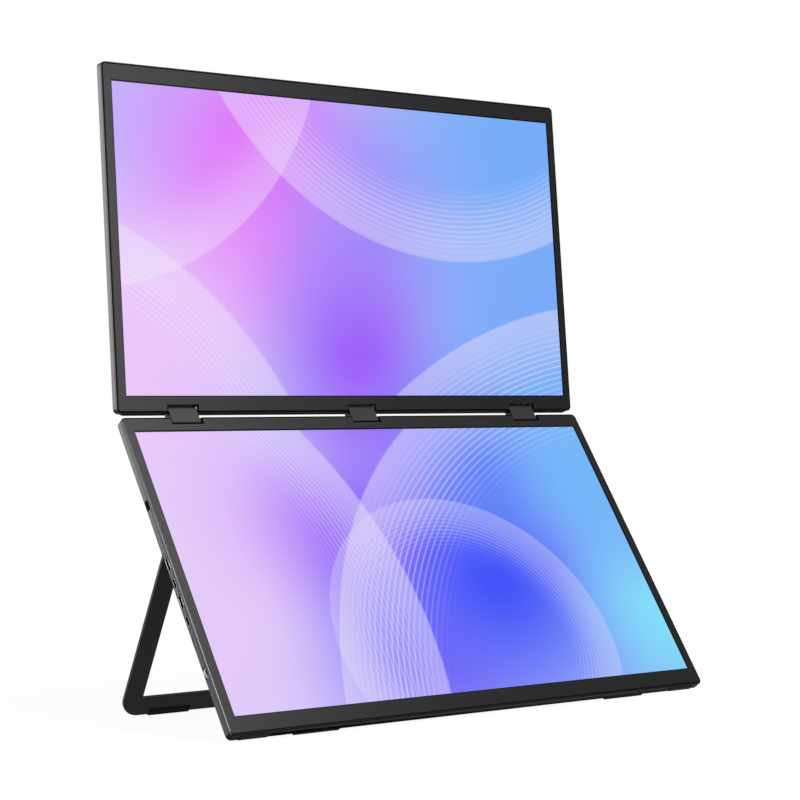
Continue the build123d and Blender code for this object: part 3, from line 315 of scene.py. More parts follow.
def surface(name, colour, second, roughness, grain, bump=0.0, metallic=0.0, ior=1.5, spread=0.06,
            specular=0.5):
    """A finish with a grain in relief and gloss, and a slow change of colour between two tones."""
    material, tree, shader, place = start_material(name)
    shader.inputs["Metallic"].default_value = metallic
    if not metallic:
        shader.inputs["IOR"].default_value = ior
    shader.inputs["Specular IOR Level"].default_value = specular
    slow = add(tree, "ShaderNodeTexNoise",
               {"Vector": place, "Scale": 1 / tone_patch, "Detail": tone_detail}).outputs["Fac"]
    tone = add(tree, "ShaderNodeMix", {0: slow, 6: srgb(colour), 7: srgb(second)}, data_type="RGBA")
    tree.links.new(tone.outputs[2], shader.inputs["Base Color"])
    fine = add(tree, "ShaderNodeTexNoise",
               {"Vector": place, "Scale": 1 / grain, "Detail": grain_detail}).outputs["Fac"]
    gloss = add(tree, "ShaderNodeMapRange",
                {"Value": fine, "To Min": roughness - spread, "To Max": roughness + spread})
    tree.links.new(gloss.outputs[0], shader.inputs["Roughness"])
    if bump:
        lift = add(tree, "ShaderNodeBump", {"Height": fine, "Strength": grain_relief, "Distance": bump})
        tree.links.new(lift.outputs[0], shader.inputs["Normal"])
    return material


def finish_materials():
    """Every finish of the monitor: by the record's slot, or by the trim that wears it."""
    return {
        # Bead-blasted, dark anodised aluminium: a soft metallic sheen with a fine dry grain
        "case_metal": surface("anodised_aluminium", "#363638", "#303032", 0.4, 0.35 * mm,
                              bump=0.02 * mm, metallic=0.8),
        # Moulded ABS frame with a fine spark-eroded texture: near black, a broad weak highlight
        "bezel_plastic": surface("textured_abs", "#080809", "#060607", 0.33, 0.4 * mm,
                                 bump=0.012 * mm, ior=1.53, spread=0.03, specular=bezel_gloss),
        # Milled and blasted zinc links under a dark lacquer, a touch lighter than the bezels
        "link_metal": surface("lacquered_zinc", "#191919", "#161617", 0.36, 0.3 * mm,
                              bump=0.012 * mm, spread=0.03, specular=0.08),
        # Powder-coated steel of the stand: even, matt black with a faint orange peel
        "stand_metal": surface("powder_coat", "#111112", "#0E0E0F", 0.45, 0.7 * mm,
                               bump=0.03 * mm, specular=0.16),
        # Moulded silicone rubber: dead black, almost no gloss
        "rubber": surface("silicone_rubber", "#060606", "#080808", 0.7, 0.5 * mm,
                          bump=0.03 * mm, ior=1.43, specular=0.12),
        # Glossy black ABS of the button and the sockets' tongues
        "button_plastic": surface("gloss_abs", "#1B1B1C", "#202021", 0.3, 0.5 * mm, ior=1.53),
        # Turned and nickel-plated brass of the roller: bright, with a soft highlight
        "wheel_metal": surface("nickel_plate", "#A9A9AA", "#9C9C9E", 0.38, 0.3 * mm, metallic=1.0),
        # Bright zinc-plated steel of screws, pins and sockets
        "steel": surface("zinc_plated_steel", "#8E9094", "#7C7E82", 0.32, 0.25 * mm,
                         bump=0.006 * mm, metallic=1.0),
        # Rolled aluminium sheet of the backlight tray
        "tray_metal": surface("rolled_sheet", "#B4B6B8", "#A8AAAD", 0.35, 0.5 * mm, metallic=1.0),
        # Green-black solder mask over glass fibre
        "board_laminate": surface("solder_mask", "#123524", "#0F2C1E", 0.35, 0.8 * mm),
        # Soft PVC jacket
        "cable_jacket": surface("pvc_jacket", "#191919", "#222222", 0.55, 0.4 * mm, ior=1.52),
        # Clear cast acrylic of the light guide
        "clear_acrylic": surface("cast_acrylic", "#E9F0F2", "#DEE8EC", 0.08, 0.6 * mm, ior=1.49),
        # Plain glass, for what is seen of it outside the picture
        "screen_glass": surface("display_glass", "#0A0A0C", "#0C0C0F", 0.16, 0.6 * mm, ior=1.52),
        # Painted shade: dull black on the panels' rims and long walls, the hinge barrels, the notch lips
        # and the links' cheeks, a dark line that stands in for the shade that falls there
        "rim_plastic": surface("painted_shade_abs", "#08080A", "#060607", 0.4, 0.5 * mm,
                               bump=0.02 * mm, specular=0.06),
        # Painted highlight: a light satin metal line along the sides of the lower bezel only, standing
        # in for a lamp's highlight on its chamfer
        "cut_edge": surface("satin_cut_edge", "#505052", "#48484A", 0.3, 0.3 * mm, metallic=1.0),
        # Gold-plated contact strips
        "gold": surface("gold_plate", "#D9B45A", "#CFA94E", 0.25, 0.2 * mm, metallic=1.0),
        # Black zinc of the screws that show: a dark satin metal
        "black_steel": surface("black_zinc", "#3A3A3C", "#2E2E30", 0.36, 0.2 * mm,
                               bump=0.006 * mm, metallic=0.8),
    }


def face_axes(node):
    """Across, up and out of the largest face of a CAD node that looks to the front."""
    seen = [face for face in nodes[node].data.polygons if face.normal.y < -front_lean]
    out = max(seen, key=lambda face: face.area).normal.copy()
    across = Vector((1, 0, 0))
    return across, out.cross(across).normalized(), out


def span(node, axis):
    """Lowest and highest place of a CAD node along an axis."""
    places = [vertex.co.dot(axis) for vertex in nodes[node].data.vertices]
    return min(places), max(places)


def panel_of(node):
    """The panel whose face a node lies along: the links and the stand go with the lower one."""
    return "upper" if node.startswith("upper") else "lower"


def hinge_place(panel):
    """A function from a place at a panel's hinge edge, across, beyond the pins and out, to a point."""
    across, up, out = panel_frames[panel]
    face = span(panel + "_front_bezel", out)[1]
    low, high = panel_edges[panel][1]
    side, edge = (1, high) if panel == "lower" else (-1, low)

    def place(x, beyond, ahead):
        height = edge + side * (beyond - axis_inset)
        return across * x + up * height + out * (face - axis_depth + ahead)

    return place


def face_spot(tree, place, panel):
    """A shaded point's place on a panel's face, across and up."""
    return add(tree, "ShaderNodeCombineXYZ", {
        number: add(tree, "ShaderNodeVectorMath", {0: place, 1: axis},
                    operation="DOT_PRODUCT").outputs["Value"]
        for number, axis in enumerate(panel_frames[panel][:2])
    })


def outside(tree, spot, edges, corner=0.0):
    """How far a spot lies outside a rectangle that keeps a corner's radius inside its edges."""
    (left, right), (bottom, top) = edges
    centre = ((left + right) / 2, (bottom + top) / 2, 0)
    half = ((right - left) / 2 - corner, (top - bottom) / 2 - corner, 0)
    away = add(tree, "ShaderNodeVectorMath", {0: spot, 1: centre}, operation="SUBTRACT")
    away = add(tree, "ShaderNodeVectorMath", {0: away}, operation="ABSOLUTE")
    beyond = add(tree, "ShaderNodeVectorMath", {0: away, 1: half}, operation="SUBTRACT")
    beyond = add(tree, "ShaderNodeVectorMath", {0: beyond, 1: (0, 0, 0)}, operation="MAXIMUM")
    return add(tree, "ShaderNodeVectorMath", {0: beyond}, operation="LENGTH").outputs["Value"]


def soft_patch(tree, picture, centre, radius, strength):
    """A soft round patch of the picture: strength at its centre, nothing past its radius."""
    away = add(tree, "ShaderNodeVectorMath", {0: picture, 1: (*centre, 0)}, operation="DISTANCE")
    return add(tree, "ShaderNodeMapRange",
               {"Value": away.outputs["Value"], "From Min": 0.0, "From Max": radius,
                "To Min": strength, "To Max": 0.0}, interpolation_type="SMOOTHSTEP")


def ring_veil(tree, picture, centre, radius, width, strength):
    """A translucent disc of the picture whose rim is bright and fades inwards."""
    away = add(tree, "ShaderNodeVectorMath", {0: picture, 1: (*centre, 0)}, operation="DISTANCE")
    rise = add(tree, "ShaderNodeMapRange",
               {"Value": away.outputs["Value"], "From Min": radius - width, "From Max": radius,
                "To Min": 0.0, "To Max": strength}, interpolation_type="SMOOTHSTEP")
    stop = add(tree, "ShaderNodeMapRange",
               {"Value": away.outputs["Value"], "From Min": radius, "From Max": radius + disc_edge,
                "To Min": 1.0, "To Max": 0.0})
    return add(tree, "ShaderNodeMath", {0: rise, 1: stop}, operation="MULTIPLY")


def fine_rings(tree, picture, centre, spacing, inner, outer, strength):
    """Thin concentric lines of the picture between two radii."""
    away = add(tree, "ShaderNodeVectorMath", {0: picture, 1: (*centre, 0)}, operation="DISTANCE")
    away = away.outputs["Value"]
    phase = add(tree, "ShaderNodeMath", {0: away, 1: 2 * math.pi / spacing}, operation="MULTIPLY")
    wave = add(tree, "ShaderNodeMath", {0: phase}, operation="SINE")
    lift = add(tree, "ShaderNodeMapRange",
               {"Value": wave, "From Min": ring_start, "From Max": 1.0,
                "To Min": 0.0, "To Max": strength})
    off_middle = add(tree, "ShaderNodeMath", {0: away, 1: (inner + outer) / 2}, operation="SUBTRACT")
    off_middle = add(tree, "ShaderNodeMath", {0: off_middle}, operation="ABSOLUTE")
    fade = add(tree, "ShaderNodeMapRange",
               {"Value": off_middle, "From Min": 0.0, "From Max": (outer - inner) / 2,
                "To Min": 1.0, "To Max": 0.0}, interpolation_type="SMOOTHSTEP")
    return add(tree, "ShaderNodeMath", {0: lift, 1: fade}, operation="MULTIPLY")


def screen_material(panel):
    """A lit display: a generic picture of soft discs and fine rings behind smooth glass."""
    material, tree, shader, place = start_material(f"lit_{panel}_screen")
    across, up, out = panel_frames[panel]
    left, right = span(panel + "_screen", across)
    low, high = span(panel + "_screen", up)
    left += glass_border
    right -= glass_border
    if panel == "upper":
        bottom, top = low + glass_border, high - glass_far_ledge
    else:
        bottom, top = low + glass_far_ledge, high - glass_border
    width = right - left
    rise = picture_rise if panel == "upper" else 0.0
    spot = face_spot(tree, place, panel)
    picture = add(tree, "ShaderNodeVectorMath", {
        0: spot,
        1: (1 / width, 1 / width, 0),
        2: (-left / width, rise - bottom / width, 0),
    }, operation="MULTIPLY_ADD")
    side = add(tree, "ShaderNodeSeparateXYZ", {0: picture})
    colour = add(tree, "ShaderNodeMix", {0: side, 6: srgb(picture_sides[0]), 7: srgb(picture_sides[1])},
                 data_type="RGBA").outputs[2]
    layers = [(soft_patch(tree, picture, *sizes), code) for *sizes, code in picture_patches]
    layers += [(ring_veil(tree, picture, *sizes), disc_tone) for sizes in picture_discs]
    layers += [(fine_rings(tree, picture, *sizes), ring_tone) for sizes in picture_rings]
    for cover, code in layers:
        colour = add(tree, "ShaderNodeMix", {0: cover, 6: colour, 7: srgb(code)},
                     data_type="RGBA").outputs[2]
    lit_edges = ((left + dark_border, right - dark_border), (bottom + dark_border, top - dark_border))
    lit = add(tree, "ShaderNodeMath", {0: outside(tree, spot, lit_edges), 1: weld_distance},
              operation="LESS_THAN")
    shown = add(tree, "ShaderNodeMix", {0: lit, 6: srgb(dark_glass), 7: colour}, data_type="RGBA")
    tree.links.new(shown.outputs[2], shader.inputs["Emission Color"])
    shader.inputs["Emission Strength"].default_value = screen_glow
    shader.inputs["Base Color"].default_value = srgb(dark_glass)
    shader.inputs["Roughness"].default_value = glass_roughness
    shader.inputs["IOR"].default_value = glass_ior
    shader.inputs["Specular IOR Level"].default_value = glass_gloss
    return material


def bezel_with_shade_line(finish, panel):
    """A panel's own bezel finish, with a painted shade line along its outline but for the left side:
    dull black, without gloss.
    """
    material = finish.copy()
    material.name = f"{panel}_{finish.name}"
    tree = material.node_tree
    shader = tree.nodes["Principled BSDF"]
    spot = face_spot(tree, tree.nodes["Texture Coordinate"].outputs["Object"], panel)
    (left, right), upright = panel_edges[panel]
    # Painted shade: a dull black band without gloss along the outline, left out on the lit left side
    reach = outside(tree, spot, ((left - shade_line_width, right), upright), photo_corner)
    on_face = add(tree, "ShaderNodeMath", {0: reach, 1: photo_corner - shade_line_width},
                  operation="LESS_THAN")
    colour = shader.inputs["Base Color"].links[0].from_socket
    shown = add(tree, "ShaderNodeMix", {0: on_face, 6: srgb(painted_shade_tone), 7: colour}, data_type="RGBA")
    tree.links.new(shown.outputs[2], shader.inputs["Base Color"])
    gloss = add(tree, "ShaderNodeMath", {0: on_face, 1: bezel_gloss}, operation="MULTIPLY")
    tree.links.new(gloss.outputs[0], shader.inputs["Specular IOR Level"])
    return material


def dress_nodes(finishes):
    """Gives every CAD node the finish of its slot in the record, and the displays their picture."""
    for name, piece in nodes.items():
        piece.data.materials.clear()
        piece.data.materials.append(finishes[slot_of[name]])
    for panel in panel_frames:
        nodes[panel + "_screen"].data.materials.clear()
        nodes[panel + "_screen"].data.materials.append(screen_material(panel))


def clean_form(name):
    """A CAD node's shape as one joined form, with its flat stretches whole."""
    form = bmesh.new()
    form.from_mesh(nodes[name].data)
    bmesh.ops.remove_doubles(form, verts=form.verts, dist=weld_distance)
    bmesh.ops.dissolve_limit(form, angle_limit=flat_angle, verts=form.verts, edges=form.edges)
    return form


def made_mesh(form, name):
    """The mesh of a form; the form itself goes."""
    mesh = bpy.data.meshes.new(name)
    form.to_mesh(mesh)
    form.free()
    return mesh


def plain_mesh(piece):
    """What a piece's modifiers make of it, as a plain mesh; the piece itself goes."""
    graph = bpy.context.evaluated_depsgraph_get()
    mesh = bpy.data.meshes.new_from_object(
        piece.evaluated_get(graph), preserve_all_data_layers=True, depsgraph=graph)
    bpy.data.objects.remove(piece)
    return mesh


def skin(form, loops):
    """Closes a form over loops of points, from the first loop to the last."""
    for first, second in zip(loops, loops[1:]):
        for i in range(len(first)):
            j = (i + 1) % len(first)
            form.faces.new((first[i], first[j], second[j], second[i]))
    form.faces.new(loops[0][::-1])
    form.faces.new(loops[-1])


def finish_piece(name, mesh, material, *stands_for, body=None, slot=None, trim=()):
    """A finished piece: smooth where it is round, on the body of the node it stands for.

    Trim gives further finishes, each with the test that says which faces have it.
    """
    mesh.materials.clear()
    mesh.materials.append(material)
    for number, (finish, wears) in enumerate(trim, 1):
        mesh.materials.append(finish)
        for face in mesh.polygons:
            if wears(face):
                face.material_index = number
    mesh.shade_smooth()
    mesh.set_sharp_from_angle(angle=smooth_angle)
    piece = new_object(name, mesh)
    evened = piece.modifiers.new("even_shading", "WEIGHTED_NORMAL")
    evened.keep_sharp = True
    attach(piece, body or body_of[stands_for[0]])
    slot or slot_of[stands_for[0]]
    if stands_for:
        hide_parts(*stands_for)
    return piece


def tighten_corners(form, panel):
    """Draws the round corners of a panel's outline in to the radius that the photograph shows."""
    axes = panel_frames[panel][:2]
    step = cad_corner - photo_corner
    for vertex in form.verts:
        spot = [vertex.co.dot(axis) for axis in axes]
        inset = [min((value - low, 1), (high - value, -1))
                 for value, (low, high) in zip(spot, panel_edges[panel])]
        beyond = [cad_corner - distance for distance, side in inset]
        if min(beyond) < -weld_distance:
            continue
        radius = math.hypot(*beyond)
        if radius < cad_corner - corner_skin:
            continue
        for axis, reach, (distance, side) in zip(axes, beyond, inset):
            moved = photo_corner - reach * (radius - step) / radius
            vertex.co += axis * side * (moved - distance)


def rounded_copy(node, broad, crisp, large):
    """A CAD shape whose bevels and square rims are rounded, and the mouths of the left wall too."""
    form = clean_form(node)
    if node.endswith(("front_bezel", "back_cover")):
        tighten_corners(form, panel_of(node))
    widest = max(broad, crisp)
    weights = form.edges.layers.float.new("bevel_weight_edge")
    for edge in form.edges:
        if len(edge.link_faces) != 2 or not edge.is_convex:
            continue
        turn = math.degrees(edge.calc_face_angle())
        beside = max(face.calc_area() for face in edge.link_faces)
        if bevel_turn[0] < turn < bevel_turn[1]:
            edge[weights] = broad / widest
        elif square_turn[0] < turn < square_turn[1] and beside > large * mm * mm:
            on_wall = max(abs(v.co.x + half_width) for v in edge.verts) < weld_distance
            at_mouth = on_wall and edge.calc_length() < longest_mouth
            edge[weights] = 1.0 if at_mouth else crisp / widest
    piece = new_object(node + "_draft", made_mesh(form, node))
    rounding = piece.modifiers.new("rounded_edges", "BEVEL")
    rounding.limit_method = "WEIGHT"
    rounding.width = widest * mm
    rounding.segments = round_steps
    rounding.use_clamp_overlap = False
    return plain_mesh(piece)


def barrel_section():
    """Section of a hinge barrel: a curved strip, as places beyond the pins' line and ahead of it."""
    section = []
    for radius, order in ((barrel_radius, 1), (barrel_radius - barrel_wall, -1)):
        half = math.acos(barrel_start / radius)
        turns = [half * (2 * i / barrel_steps - 1) for i in range(barrel_steps + 1)]
        section += [(radius * math.cos(turn), radius * math.sin(turn)) for turn in turns][::order]
    return section


def end_rings(end, inward, taper):
    """Places across, and shares of the full height, along an end that rounds off to the wall."""
    turns = [math.pi / 2 * step / barrel_end_steps for step in range(barrel_end_steps + 1)]
    return [(end + inward * taper * (1 - math.cos(turn)), max(math.sin(turn), barrel_least))
            for turn in turns]


def add_barrels(finish):
    """The half-round strip along each panel's hinge wall, broken at the links."""
    far_end = half_width - barrel_end
    breaks = [(-far_end, barrel_taper)]
    for offset in link_offsets:
        breaks += [(offset - barrel_break, barrel_round), (offset + barrel_break, barrel_round)]
    breaks.append((far_end, barrel_taper))
    section = barrel_section()
    for panel in panel_frames:
        place = hinge_place(panel)
        form = bmesh.new()
        for (x_from, first_taper), (x_to, last_taper) in zip(breaks[::2], breaks[1::2]):
            rings = end_rings(x_from, 1, first_taper) + end_rings(x_to, -1, last_taper)[::-1]
            skin(form, [
                [form.verts.new(place(x, barrel_start + (beyond - barrel_start) * share, ahead))
                 for beyond, ahead in section]
                for x, share in rings
            ])
        bmesh.ops.recalc_face_normals(form, faces=form.faces)
        name = panel + "_hinge_barrel"
        finish_piece(name, made_mesh(form, name), finish,
                     body=body_of[panel + "_front_bezel"], slot="bezel_plastic")


def add_notch_lips(finish):
    """A thin lip behind each notch, clear of the link's swing, that closes the view through it: a dark
    sheet of painted shade.
    """
    for panel in panel_frames:
        place = hinge_place(panel)
        form = bmesh.new()
        for offset in link_offsets:
            for vertex in bmesh.ops.create_cube(form, size=1.0)["verts"]:
                x, y, z = vertex.co
                inward = (lip_low + lip_high) / 2 + y * (lip_high - lip_low)
                back = (lip_near + lip_far) / 2 + z * (lip_far - lip_near)
                vertex.co = place(offset + 2 * x * notch_half, -inward, -back)
        bmesh.ops.recalc_face_normals(form, faces=form.faces)
        bmesh.ops.bevel(form, geom=list(form.edges), offset=lip_round, segments=lip_round_steps,
                        affect="EDGES")
        name = panel + "_notch_lips"
        finish_piece(name, made_mesh(form, name), finish,
                     body=body_of[panel + "_front_bezel"], slot="bezel_plastic")


def separate_solids(node):
    """The points of each separate solid of a CAD node."""
    form = clean_form(node)
    waiting = set(form.verts)
    solids = []
    while waiting:
        reached = [waiting.pop()]
        points = []
        while reached:
            vertex = reached.pop()
            points.append(vertex.co.copy())
            for edge in vertex.link_edges:
                other = edge.other_vert(vertex)
                if other in waiting:
                    waiting.remove(other)
                    reached.append(other)
        solids.append(points)
    form.free()
    return solids


def start_tree(name, sizes):
    """A node tree that takes places and named sizes; gives the tree and what it takes."""
    tree = bpy.data.node_groups.new(name, "GeometryNodeTree")
    tree.interface.new_socket("Result", in_out="OUTPUT", socket_type="NodeSocketGeometry")
    tree.interface.new_socket("Places", in_out="INPUT", socket_type="NodeSocketGeometry")
    for size in sizes:
        tree.interface.new_socket(size, in_out="INPUT", socket_type="NodeSocketFloat")
    return tree, add(tree, "NodeGroupInput").outputs


def step_sizes(steps):
    """The named sizes of a row of steps, as a tree takes them."""
    sizes = {}
    for step, (rise, share) in steps.items():
        sizes[step + " rise"] = rise
        sizes[step + " share"] = share
    return sizes


def step_inwards(tree, mesh, top, taken, steps):
    """Raises or sinks the top face of a shape step by step, drawing it in by a share each time."""
    for step in steps:
        raised = add(tree, "GeometryNodeExtrudeMesh",
                     {"Mesh": mesh, "Selection": top, "Offset Scale": taken[step + " rise"]},
                     mode="FACES")
        top = raised.outputs["Top"]
        mesh = add(tree, "GeometryNodeScaleElements",
                   {"Geometry": raised.outputs["Mesh"], "Selection": top,
                    "Scale": taken[step + " share"]}, domain="FACE")
    return mesh, top


def stand_at_places(tree, taken, shape, material):
    """Ends a tree: the shape at every place, turned as the places say, made real, with its finish."""
    facing, along = (
        add(tree, "GeometryNodeInputNamedAttribute", {"Name": name}, data_type="FLOAT_VECTOR")
        for name in ("facing", "along")
    )
    turned = add(tree, "FunctionNodeAxesToRotation", {0: facing, 1: along},
                 primary_axis="Z", secondary_axis="X")
    stood = add(tree, "GeometryNodeInstanceOnPoints",
                {"Points": taken["Places"], "Instance": shape, "Rotation": turned.outputs[0]})
    real = add(tree, "GeometryNodeRealizeInstances", {"Geometry": stood})
    dressed = add(tree, "GeometryNodeSetMaterial", {"Geometry": real, "Material": material})
    add(tree, "NodeGroupOutput", {0: dressed})


def screw_tree(material):
    """A shallow cup with a low round head in it, and a hexagonal recess in the head."""
    sizes = ("Cup radius", "Cup depth", "Recess radius", *step_sizes(screw_steps))
    tree, taken = start_tree("recessed_screw", sizes)
    disc = add(tree, "GeometryNodeMeshCylinder",
               {"Vertices": cup_sides, "Radius": taken["Cup radius"], "Depth": taken["Cup depth"]})
    low = add(tree, "ShaderNodeMath", {0: taken["Cup depth"], 1: -0.5}, operation="MULTIPLY")
    seat = add(tree, "ShaderNodeCombineXYZ", {2: low})
    seated = add(tree, "GeometryNodeSetPosition", {"Geometry": disc.outputs["Mesh"], "Offset": seat})
    *outer, recess = screw_steps
    mesh, top = step_inwards(tree, seated, disc.outputs["Top"], taken, outer)
    parts = add(tree, "ShaderNodeSeparateXYZ", {0: add(tree, "GeometryNodeInputPosition")}).outputs
    turn = add(tree, "ShaderNodeMath", {0: parts[1], 1: parts[0]}, operation="ARCTAN2")
    sixth = add(tree, "ShaderNodeMath", {0: turn, 1: math.pi / 6, 2: -math.pi / 6}, operation="WRAP")
    lean = add(tree, "ShaderNodeMath", {0: sixth}, operation="COSINE")
    reach = add(tree, "ShaderNodeMath", {0: taken["Recess radius"], 1: lean}, operation="DIVIDE")
    wide = add(tree, "ShaderNodeMath", {0: turn}, operation="COSINE")
    high = add(tree, "ShaderNodeMath", {0: turn}, operation="SINE")
    hexagon = add(tree, "ShaderNodeCombineXYZ", {
        0: add(tree, "ShaderNodeMath", {0: reach, 1: wide}, operation="MULTIPLY"),
        1: add(tree, "ShaderNodeMath", {0: reach, 1: high}, operation="MULTIPLY"),
        2: parts[2],
    })
    shaped = add(tree, "GeometryNodeSetPosition",
                 {"Geometry": mesh, "Selection": top, "Position": hexagon})
    mesh, top = step_inwards(tree, shaped, top, taken, [recess])
    stand_at_places(tree, taken, mesh, material)
    return tree


def wheel_tree(material):
    """A knurled roller: ribs round its rim, bevelled edges and a dished face with a hub."""
    sizes = ("Radius", "Thickness", "Ribs", "Rib share", "Rib end", *step_sizes(wheel_steps))
    tree, taken = start_tree("knurled_roller", sizes)
    disc = add(tree, "GeometryNodeMeshCylinder",
               {"Vertices": wheel_sides, "Side Segments": wheel_rings, "Radius": taken["Radius"],
                "Depth": taken["Thickness"]})
    spot = add(tree, "GeometryNodeInputPosition")
    parts = add(tree, "ShaderNodeSeparateXYZ", {0: spot}).outputs
    turn = add(tree, "ShaderNodeMath", {0: parts[1], 1: parts[0]}, operation="ARCTAN2")
    phase = add(tree, "ShaderNodeMath", {0: turn, 1: taken["Ribs"]}, operation="MULTIPLY")
    wave = add(tree, "ShaderNodeMath", {0: phase}, operation="SINE")
    groove = add(tree, "ShaderNodeMapRange",
                 {"Value": wave, "From Min": -wheel_rib_flank, "From Max": wheel_rib_flank,
                  "To Min": taken["Rib share"], "To Max": 0.0})
    level = add(tree, "ShaderNodeMath", {0: parts[2]}, operation="ABSOLUTE")
    ribbed = add(tree, "ShaderNodeMath", {0: level, 1: taken["Rib end"]}, operation="LESS_THAN")
    groove = add(tree, "ShaderNodeMath", {0: groove, 1: ribbed}, operation="MULTIPLY")
    narrow = add(tree, "ShaderNodeMath", {0: 1.0, 1: groove}, operation="SUBTRACT")
    scale = add(tree, "ShaderNodeCombineXYZ", {0: narrow, 1: narrow, 2: 1.0})
    moved = add(tree, "ShaderNodeVectorMath", {0: spot, 1: scale}, operation="MULTIPLY")
    mesh = add(tree, "GeometryNodeSetPosition", {"Geometry": disc.outputs["Mesh"], "Position": moved})
    for face in ("Top", "Bottom"):
        mesh = add(tree, "GeometryNodeScaleElements",
                   {"Geometry": mesh, "Selection": disc.outputs[face], "Scale": wheel_edge_share},
                   domain="FACE")
    mesh, top = step_inwards(tree, mesh, disc.outputs["Top"], taken, wheel_steps)
    stand_at_places(tree, taken, mesh, material)
    return tree


def contact_tree(material):
    """A short strip for each contact of a socket."""
    tree, taken = start_tree("contact_strips", contact_size)
    size = add(tree, "ShaderNodeCombineXYZ",
               {0: taken["Length"], 1: taken["Width"], 2: taken["Height"]})
    strip = add(tree, "GeometryNodeMeshCube", {"Size": size})
    stand_at_places(tree, taken, strip, material)
    return tree


def grow(tree, places, sizes):
    """Runs a tree over places, each a point, what it faces and the way it lies along."""
    mesh = bpy.data.meshes.new(tree.name)
    mesh.from_pydata([point for point, facing, along in places], [], [])
    for number, name in enumerate(("facing", "along"), 1):
        attribute = mesh.attributes.new(name, "FLOAT_VECTOR", "POINT")
        for entry, place in zip(attribute.data, places):
            entry.vector = place[number]
    piece = new_object(tree.name + "_draft", mesh)
    growth = piece.modifiers.new(tree.name, "NODES")
    growth.node_group = tree
    for socket in tree.interface.items_tree:
        if socket.in_out == "INPUT" and socket.name in sizes:
            growth[socket.identifier] = float(sizes[socket.name])
    return plain_mesh(piece)


def add_screws(material):
    """The screws that show: a cup, a low head and a recess at every screw of the CAD."""
    tree = screw_tree(material)
    for node, sink, radius in screw_sets:
        across, up, out = panel_frames[panel_of(node)]
        facing = -out
        places = []
        for points in separate_solids(node):
            end = max(point.dot(facing) for point in points)
            head = [point for point in points if point.dot(facing) > end - head_layer]
            centre = sum(head, Vector()) / len(head)
            places.append((centre + facing * (sink - cup_sink), facing, across))
        mesh = grow(tree, places, {
            "Cup radius": radius,
            "Cup depth": cup_depth,
            "Recess radius": recess_share * radius,
            **step_sizes(screw_steps),
        })
        finish_piece(node + "_recessed", mesh, material, node)


def add_wheel(material):
    """The roller wheel with its knurl."""
    axes = panel_frames["lower"]
    spans = [span("roller_wheel", axis) for axis in axes]
    centre = sum((axis * (low + high) / 2 for axis, (low, high) in zip(axes, spans)), Vector())
    across, up, out = axes
    radius = (spans[0][1] - spans[0][0]) / 2
    thickness = spans[2][1] - spans[2][0]
    mesh = grow(wheel_tree(material), [(centre, out, across)], {
        "Radius": radius,
        "Thickness": thickness,
        "Ribs": wheel_ribs,
        "Rib share": wheel_rib_depth / radius,
        "Rib end": thickness / 2 - wheel_rim_height,
        **step_sizes(wheel_steps),
    })
    finish_piece("roller_wheel_knurled", mesh, material, "roller_wheel")


def pill(length, height, bevel=0.0):
    """Outline of a mouth: round ends, or straight ones with bevelled corners."""
    if bevel:
        x, y = length / 2, height / 2
        return [(x, bevel - y), (x, y - bevel), (x - bevel, y), (bevel - x, y),
                (-x, y - bevel), (-x, bevel - y), (bevel - x, -y), (x - bevel, -y)]
    radius = height / 2
    reach = length / 2 - radius
    points = []
    for side, start in ((1, -math.pi / 2), (-1, math.pi / 2)):
        for step in range(round_end_steps + 1):
            turn = start + math.pi * step / round_end_steps
            points.append((side * reach + radius * math.cos(turn), radius * math.sin(turn)))
    return points


def lofted(name, mouth, axes, rings):
    """A closed mesh through rings, each an outline and its depth behind a mouth."""
    along, high, inward = axes
    form = bmesh.new()
    skin(form, [
        [form.verts.new(mouth + along * u + high * v + inward * depth) for u, v in outline]
        for outline, depth in rings
    ])
    bmesh.ops.recalc_face_normals(form, faces=form.faces)
    return made_mesh(form, name)


def add_socket(node, mouth_size, bevel, tongue_size, contacts, finishes, tree):
    """A socket of the left wall: bent steel shell, moulded tongue and gold contacts."""
    across, up, out = panel_frames["lower"]
    mount = next(mount for mount in record["mounts"] if mount["name"] == node)
    mouth = Vector(mount["pos_m"]) + across * socket_inset
    axes = (up, out, across)
    length, height = mouth_size
    wide, thick = tongue_size

    def outline(inset):
        return pill(length - 2 * inset, height - 2 * inset, bevel)

    def bar(inset):
        return pill(wide - 2 * inset, thick - 2 * inset, thick * tongue_bevel_share)

    shell = lofted(node + "_shell", mouth, axes, (
        (outline(0), socket_depth),
        (outline(0), socket_lip),
        (outline(socket_lip), 0),
        (outline(socket_sheet - socket_lip), 0),
        (outline(socket_sheet), socket_lip),
        (outline(socket_sheet), socket_depth - socket_sheet),
    ))
    finish_piece(node + "_shell", shell, finishes["steel"], node)
    tongue = lofted(node + "_tongue", mouth, axes, (
        (bar(0), socket_depth - socket_sheet / 2),
        (bar(0), tongue_start + tongue_lip),
        (bar(tongue_lip), tongue_start),
    ))
    finish_piece(node + "_tongue", tongue, finishes["button_plastic"], node, slot="button_plastic")
    start = mouth + across * (tongue_start + 2 * tongue_lip + contact_size["Length"] / 2)
    rows = [contact_pitch * (i - (contacts - 1) / 2) for i in range(contacts)]
    places = [
        (start + up * row + out * (side * thick / 2), out * side, across)
        for side in (1, -1) for row in rows
    ]
    strips = grow(tree, places, contact_size)
    finish_piece(node + "_contacts", strips, finishes["gold"], node, slot="steel")


